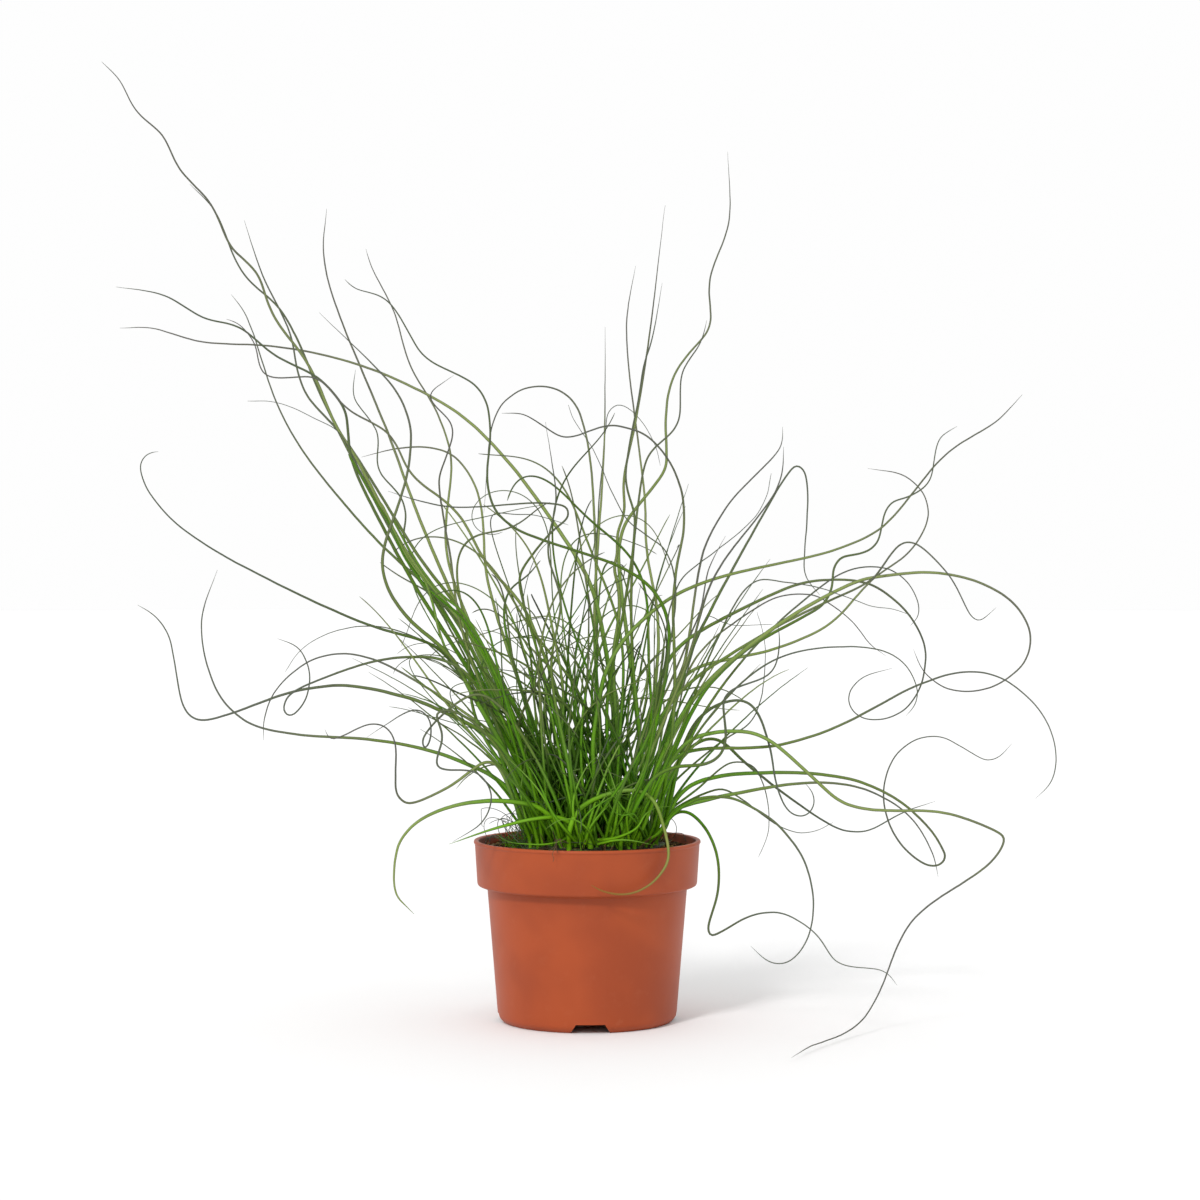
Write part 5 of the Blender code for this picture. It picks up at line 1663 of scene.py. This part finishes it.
    def curls(self, chance: Random, count: int, habit: Habit, stray: float, widths: Range,
              tips: Range) -> list[Strand]:
        """Grow curling strands between the stems, kept inside the tuft.

        Args:
            chance: Where their random numbers come from.
            count: The number of strands.
            habit: How much they curl.
            stray: How far they set out from the way to a gathering place, as a share of it.
            widths: The least and most thickness at the foot, in millimetres.
            tips: The same at the tip.

        Returns:
            The strands.
        """
        strands = []
        while len(strands) < count:
            foot, _ = self.foot(chance)
            length = chance.uniform(*self.curl_length_mm) * MM
            strand = free_strand(chance, foot, self.lean(chance, foot, stray), length, 1.3, habit,
                                 chance.uniform(*self.curl_vigour))
            strand.shade = chance.uniform(*self.curl_shade)
            width, tip = chance.uniform(*widths), chance.uniform(*tips)
            strand.girths = tapered(strand.along(), width, tip, 0.8)
            x, y, z = strand.points.T
            inside = (x.min() > self.curl_left and x.max() < self.curl_right
                      and np.abs(y).max() < self.curl_depth and z.max() < self.curl_top
                      and self.rises(strand.points) and z[-1] > self.curl_tip_least)
            if inside:
                strands.append(strand)
        return strands

    def tangle(self, chance: Random) -> list[Strand]:
        """Grow the little dry curls on the soil, most of them by the rim at the left.

        Args:
            chance: Where their random numbers come from.

        Returns:
            The strands.
        """
        strands = []
        for i in range(self.tangle_count):
            at_left = i < self.tangle_at_left
            turn = chance.normal(self.tangle_turn, 0.18) if at_left else chance.uniform(0, math.tau)
            reach = chance.uniform(*self.tangle_reach_mm) * MM
            foot = (reach * math.cos(turn), reach * math.sin(turn), self.tangle_foot)
            way = (chance.normal(), chance.normal(), 1.0)
            strand = free_strand(chance, foot, way, chance.uniform(*self.tangle_length_mm) * MM,
                                 self.tangle_width_mm, Habit.TANGLE,
                                 chance.uniform(*self.tangle_vigour), 1.2 * MM)
            strand.points[:, 2] = np.maximum(strand.points[:, 2], self.tangle_least)
            pull_in(strand.points, self.tangle_limit)
            strands.append(strand)
        return strands

    def stubs(self, chance: Random) -> list[Strand]:
        """Grow the old sheath ends that stand on the mound.

        Args:
            chance: Where their random numbers come from.

        Returns:
            The strands.
        """
        strands = []
        for _ in range(self.stub_count):
            foot, out = self.foot(chance, 1.08)
            way = 0.9 * out + np.array([0, 0, 1.0]) + 0.35 * chance.normal(size=3)
            length = chance.uniform(*self.stub_length_mm) * MM
            width = chance.uniform(*self.stub_width_mm)
            strands.append(free_strand(chance, foot, way, length, width, Habit.LITTER,
                                       chance.uniform(*self.stub_vigour), 1.6 * MM))
        return strands

    def ribbon(self) -> list[Strand]:
        """Grow the bright stems of the ribbon.

        Returns:
            The strands, each in its own shade.
        """
        strands = drawn_strands(self.RIBBON_MM, self.bright_vigour, 1.3)
        for strand, shade in zip(strands, self.RIBBON_SHADES):
            strand.shade = shade
        return strands

    def blades(self, chance: Random) -> list[Strand]:
        """Grow the blades at the front of the tuft.

        Args:
            chance: Where their shades come from.

        Returns:
            The strands, with those that cross in front of the others last.
        """
        blades = drawn_strands(self.BLADES_MM, self.blade_vigour)
        for blade in blades:
            blade.shade = chance.uniform(0.7, 1.0)
        return blades + drawn_strands(self.CROSSING_MM, self.bright_vigour)

    def rootlets(self, chance: Random) -> list[Strand]:
        """Grow the rootlets over the rim.

        Args:
            chance: Where their browns come from.

        Returns:
            The strands.
        """
        return [drawn_strand(width, route, chance.uniform(*self.rootlet_vigour), 0.25)
                for width, route in self.ROOTLETS_MM]

    def build(self, finish: CrownFinish, skin: bpy.types.Material, fibre: bpy.types.Material,
              sweep: StrandTree) -> None:
        """Heap the mound, grow the shoots and dress them.

        Args:
            finish: The mound's finish.
            skin: The shoots' material.
            fibre: That of the old sheath ends and the rootlets.
            sweep: What grows them.
        """
        mound = to_object(self.mound(), "crown_mound", finish.material(), math.pi)
        put_on(mound, "crown_green", "crown")
        chance = np.random.default_rng(self.seed)
        shoots = [*drawn_strands(self.FINE_MM, self.fine_vigour), *self.ribbon(), *self.inner(),
                  *self.young(chance), *self.sprigs(chance)]
        grown = sweep.grow("inner_shoots", shoots, skin, 7, 2.0 * MM, 0.8 * MM)
        put_on(grown, "crown_green", "crown")
        pieces = (
            ("front_blades", self.blades(chance), skin, 8, 1.4 * MM),
            ("arching_shoots",
             self.curls(chance, self.arch_count, Habit.ARCH, self.arch_stray,
                        self.arch_width_mm, self.arch_tip_mm), skin, 6, 2.0 * MM),
            ("fine_wisps",
             self.curls(chance, self.wisp_count, Habit.WISP, self.wisp_stray,
                        self.wisp_width_mm, self.wisp_tip_mm), skin, 5, 2.0 * MM),
            ("dry_tangle", self.tangle(chance), skin, 5, 1.0 * MM),
            ("sheath_ends", self.stubs(chance), fibre, 6, 1.6 * MM),
            ("rim_rootlets", self.rootlets(chance), fibre, 6, 0.8 * MM),
        )
        for name, strands, material, sides, spacing in pieces:
            put_on(sweep.grow(name, strands, material, sides, spacing), "crown_green")


@dataclass
class Studio:
    """The pale floor, the soft light and the camera that the photograph was taken with."""

    floor_radius: float = 9.0
    floor_sides: int = 96
    lens: float = 90.0
    sensor: float = 36.0
    clip_end: float = 60.0
    pitch: float = math.radians(1.19)
    yaw: float = math.atan(12.8 / 3000)
    sky: float = 0.99
    sun: float = 1.6
    sun_spread: float = math.radians(9)
    sun_way: tuple[float, float, float] = (0.45, 0.89, -0.88)

    def floor(self, finish: FloorPaint) -> None:
        """Lay the floor.

        Args:
            finish: Its paint.
        """
        mesh = bmesh.new()
        bmesh.ops.create_circle(mesh, cap_ends=True, cap_tris=True, segments=self.floor_sides,
                                radius=self.floor_radius)
        floor = to_object(mesh, "studio_floor", finish.material())

    def light(self) -> None:
        """Hang the key light and set an even white surround."""
        lamp = bpy.data.lights.new("key_light", "SUN")
        lamp.energy = self.sun
        lamp.angle = self.sun_spread
        key = bpy.data.objects.new("key_light", lamp)
        key.rotation_mode = "QUATERNION"
        key.rotation_quaternion = Vector(self.sun_way).to_track_quat("-Z", "Y")
        bpy.context.scene.collection.objects.link(key)
        world = bpy.data.worlds.new("white_surround")
        world.use_nodes = True
        world.node_tree.nodes.clear()
        sheet = NodeSheet(world.node_tree)
        sockets = {"Color": (1.0, 1.0, 1.0), "Strength": self.sky}
        glow = sheet.node("ShaderNodeBackground", {}, sockets)["Background"]
        sheet.node("ShaderNodeOutputWorld", {}, {"Surface": glow})
        bpy.context.scene.world = world

    def camera(self) -> None:
        """Set up the camera at the photograph's place and angle."""
        data = bpy.data.cameras.new("camera")
        data.lens = self.lens
        data.sensor_width = self.sensor
        data.clip_end = self.clip_end
        camera = bpy.data.objects.new("camera", data)
        ahead = Vector((math.sin(self.yaw) * math.cos(self.pitch),
                        math.cos(self.yaw) * math.cos(self.pitch), -math.sin(self.pitch)))
        right = Vector((math.cos(self.yaw), -math.sin(self.yaw), 0.0))
        up = right.cross(ahead)
        turn = Matrix((right, up, -ahead)).transposed()
        camera.matrix_world = Matrix.Translation(EYE) @ turn.to_4x4()
        bpy.context.scene.collection.objects.link(camera)
        bpy.context.scene.camera = camera

    def build(self) -> None:
        """Set the studio up."""
        self.floor(FloorPaint())
        self.light()
        self.camera()
        bpy.context.scene.view_settings.view_transform = "Standard"


def clear_startup() -> None:
    """Empty the startup scene."""
    for old in list(bpy.data.objects):
        bpy.data.objects.remove(old, do_unlink=True)


def main() -> None:
    logging.basicConfig(level=logging.INFO, format="%(message)s")
    clear_startup()
    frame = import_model()
    Studio().build()
    sweep = StrandTree()
    skin = RushGreen().material()
    fibre = DryFibre().material()
    NurseryPot().build(PotPlastic())
    PottingSoil().build(SoilFinish(), fibre, CrumbTree(), sweep)
    RushCrown().build(CrownFinish(), skin, fibre, sweep)
    TracedStems().build(frame["nodes"], skin, sweep)


if __name__ == "__main__":
    main()
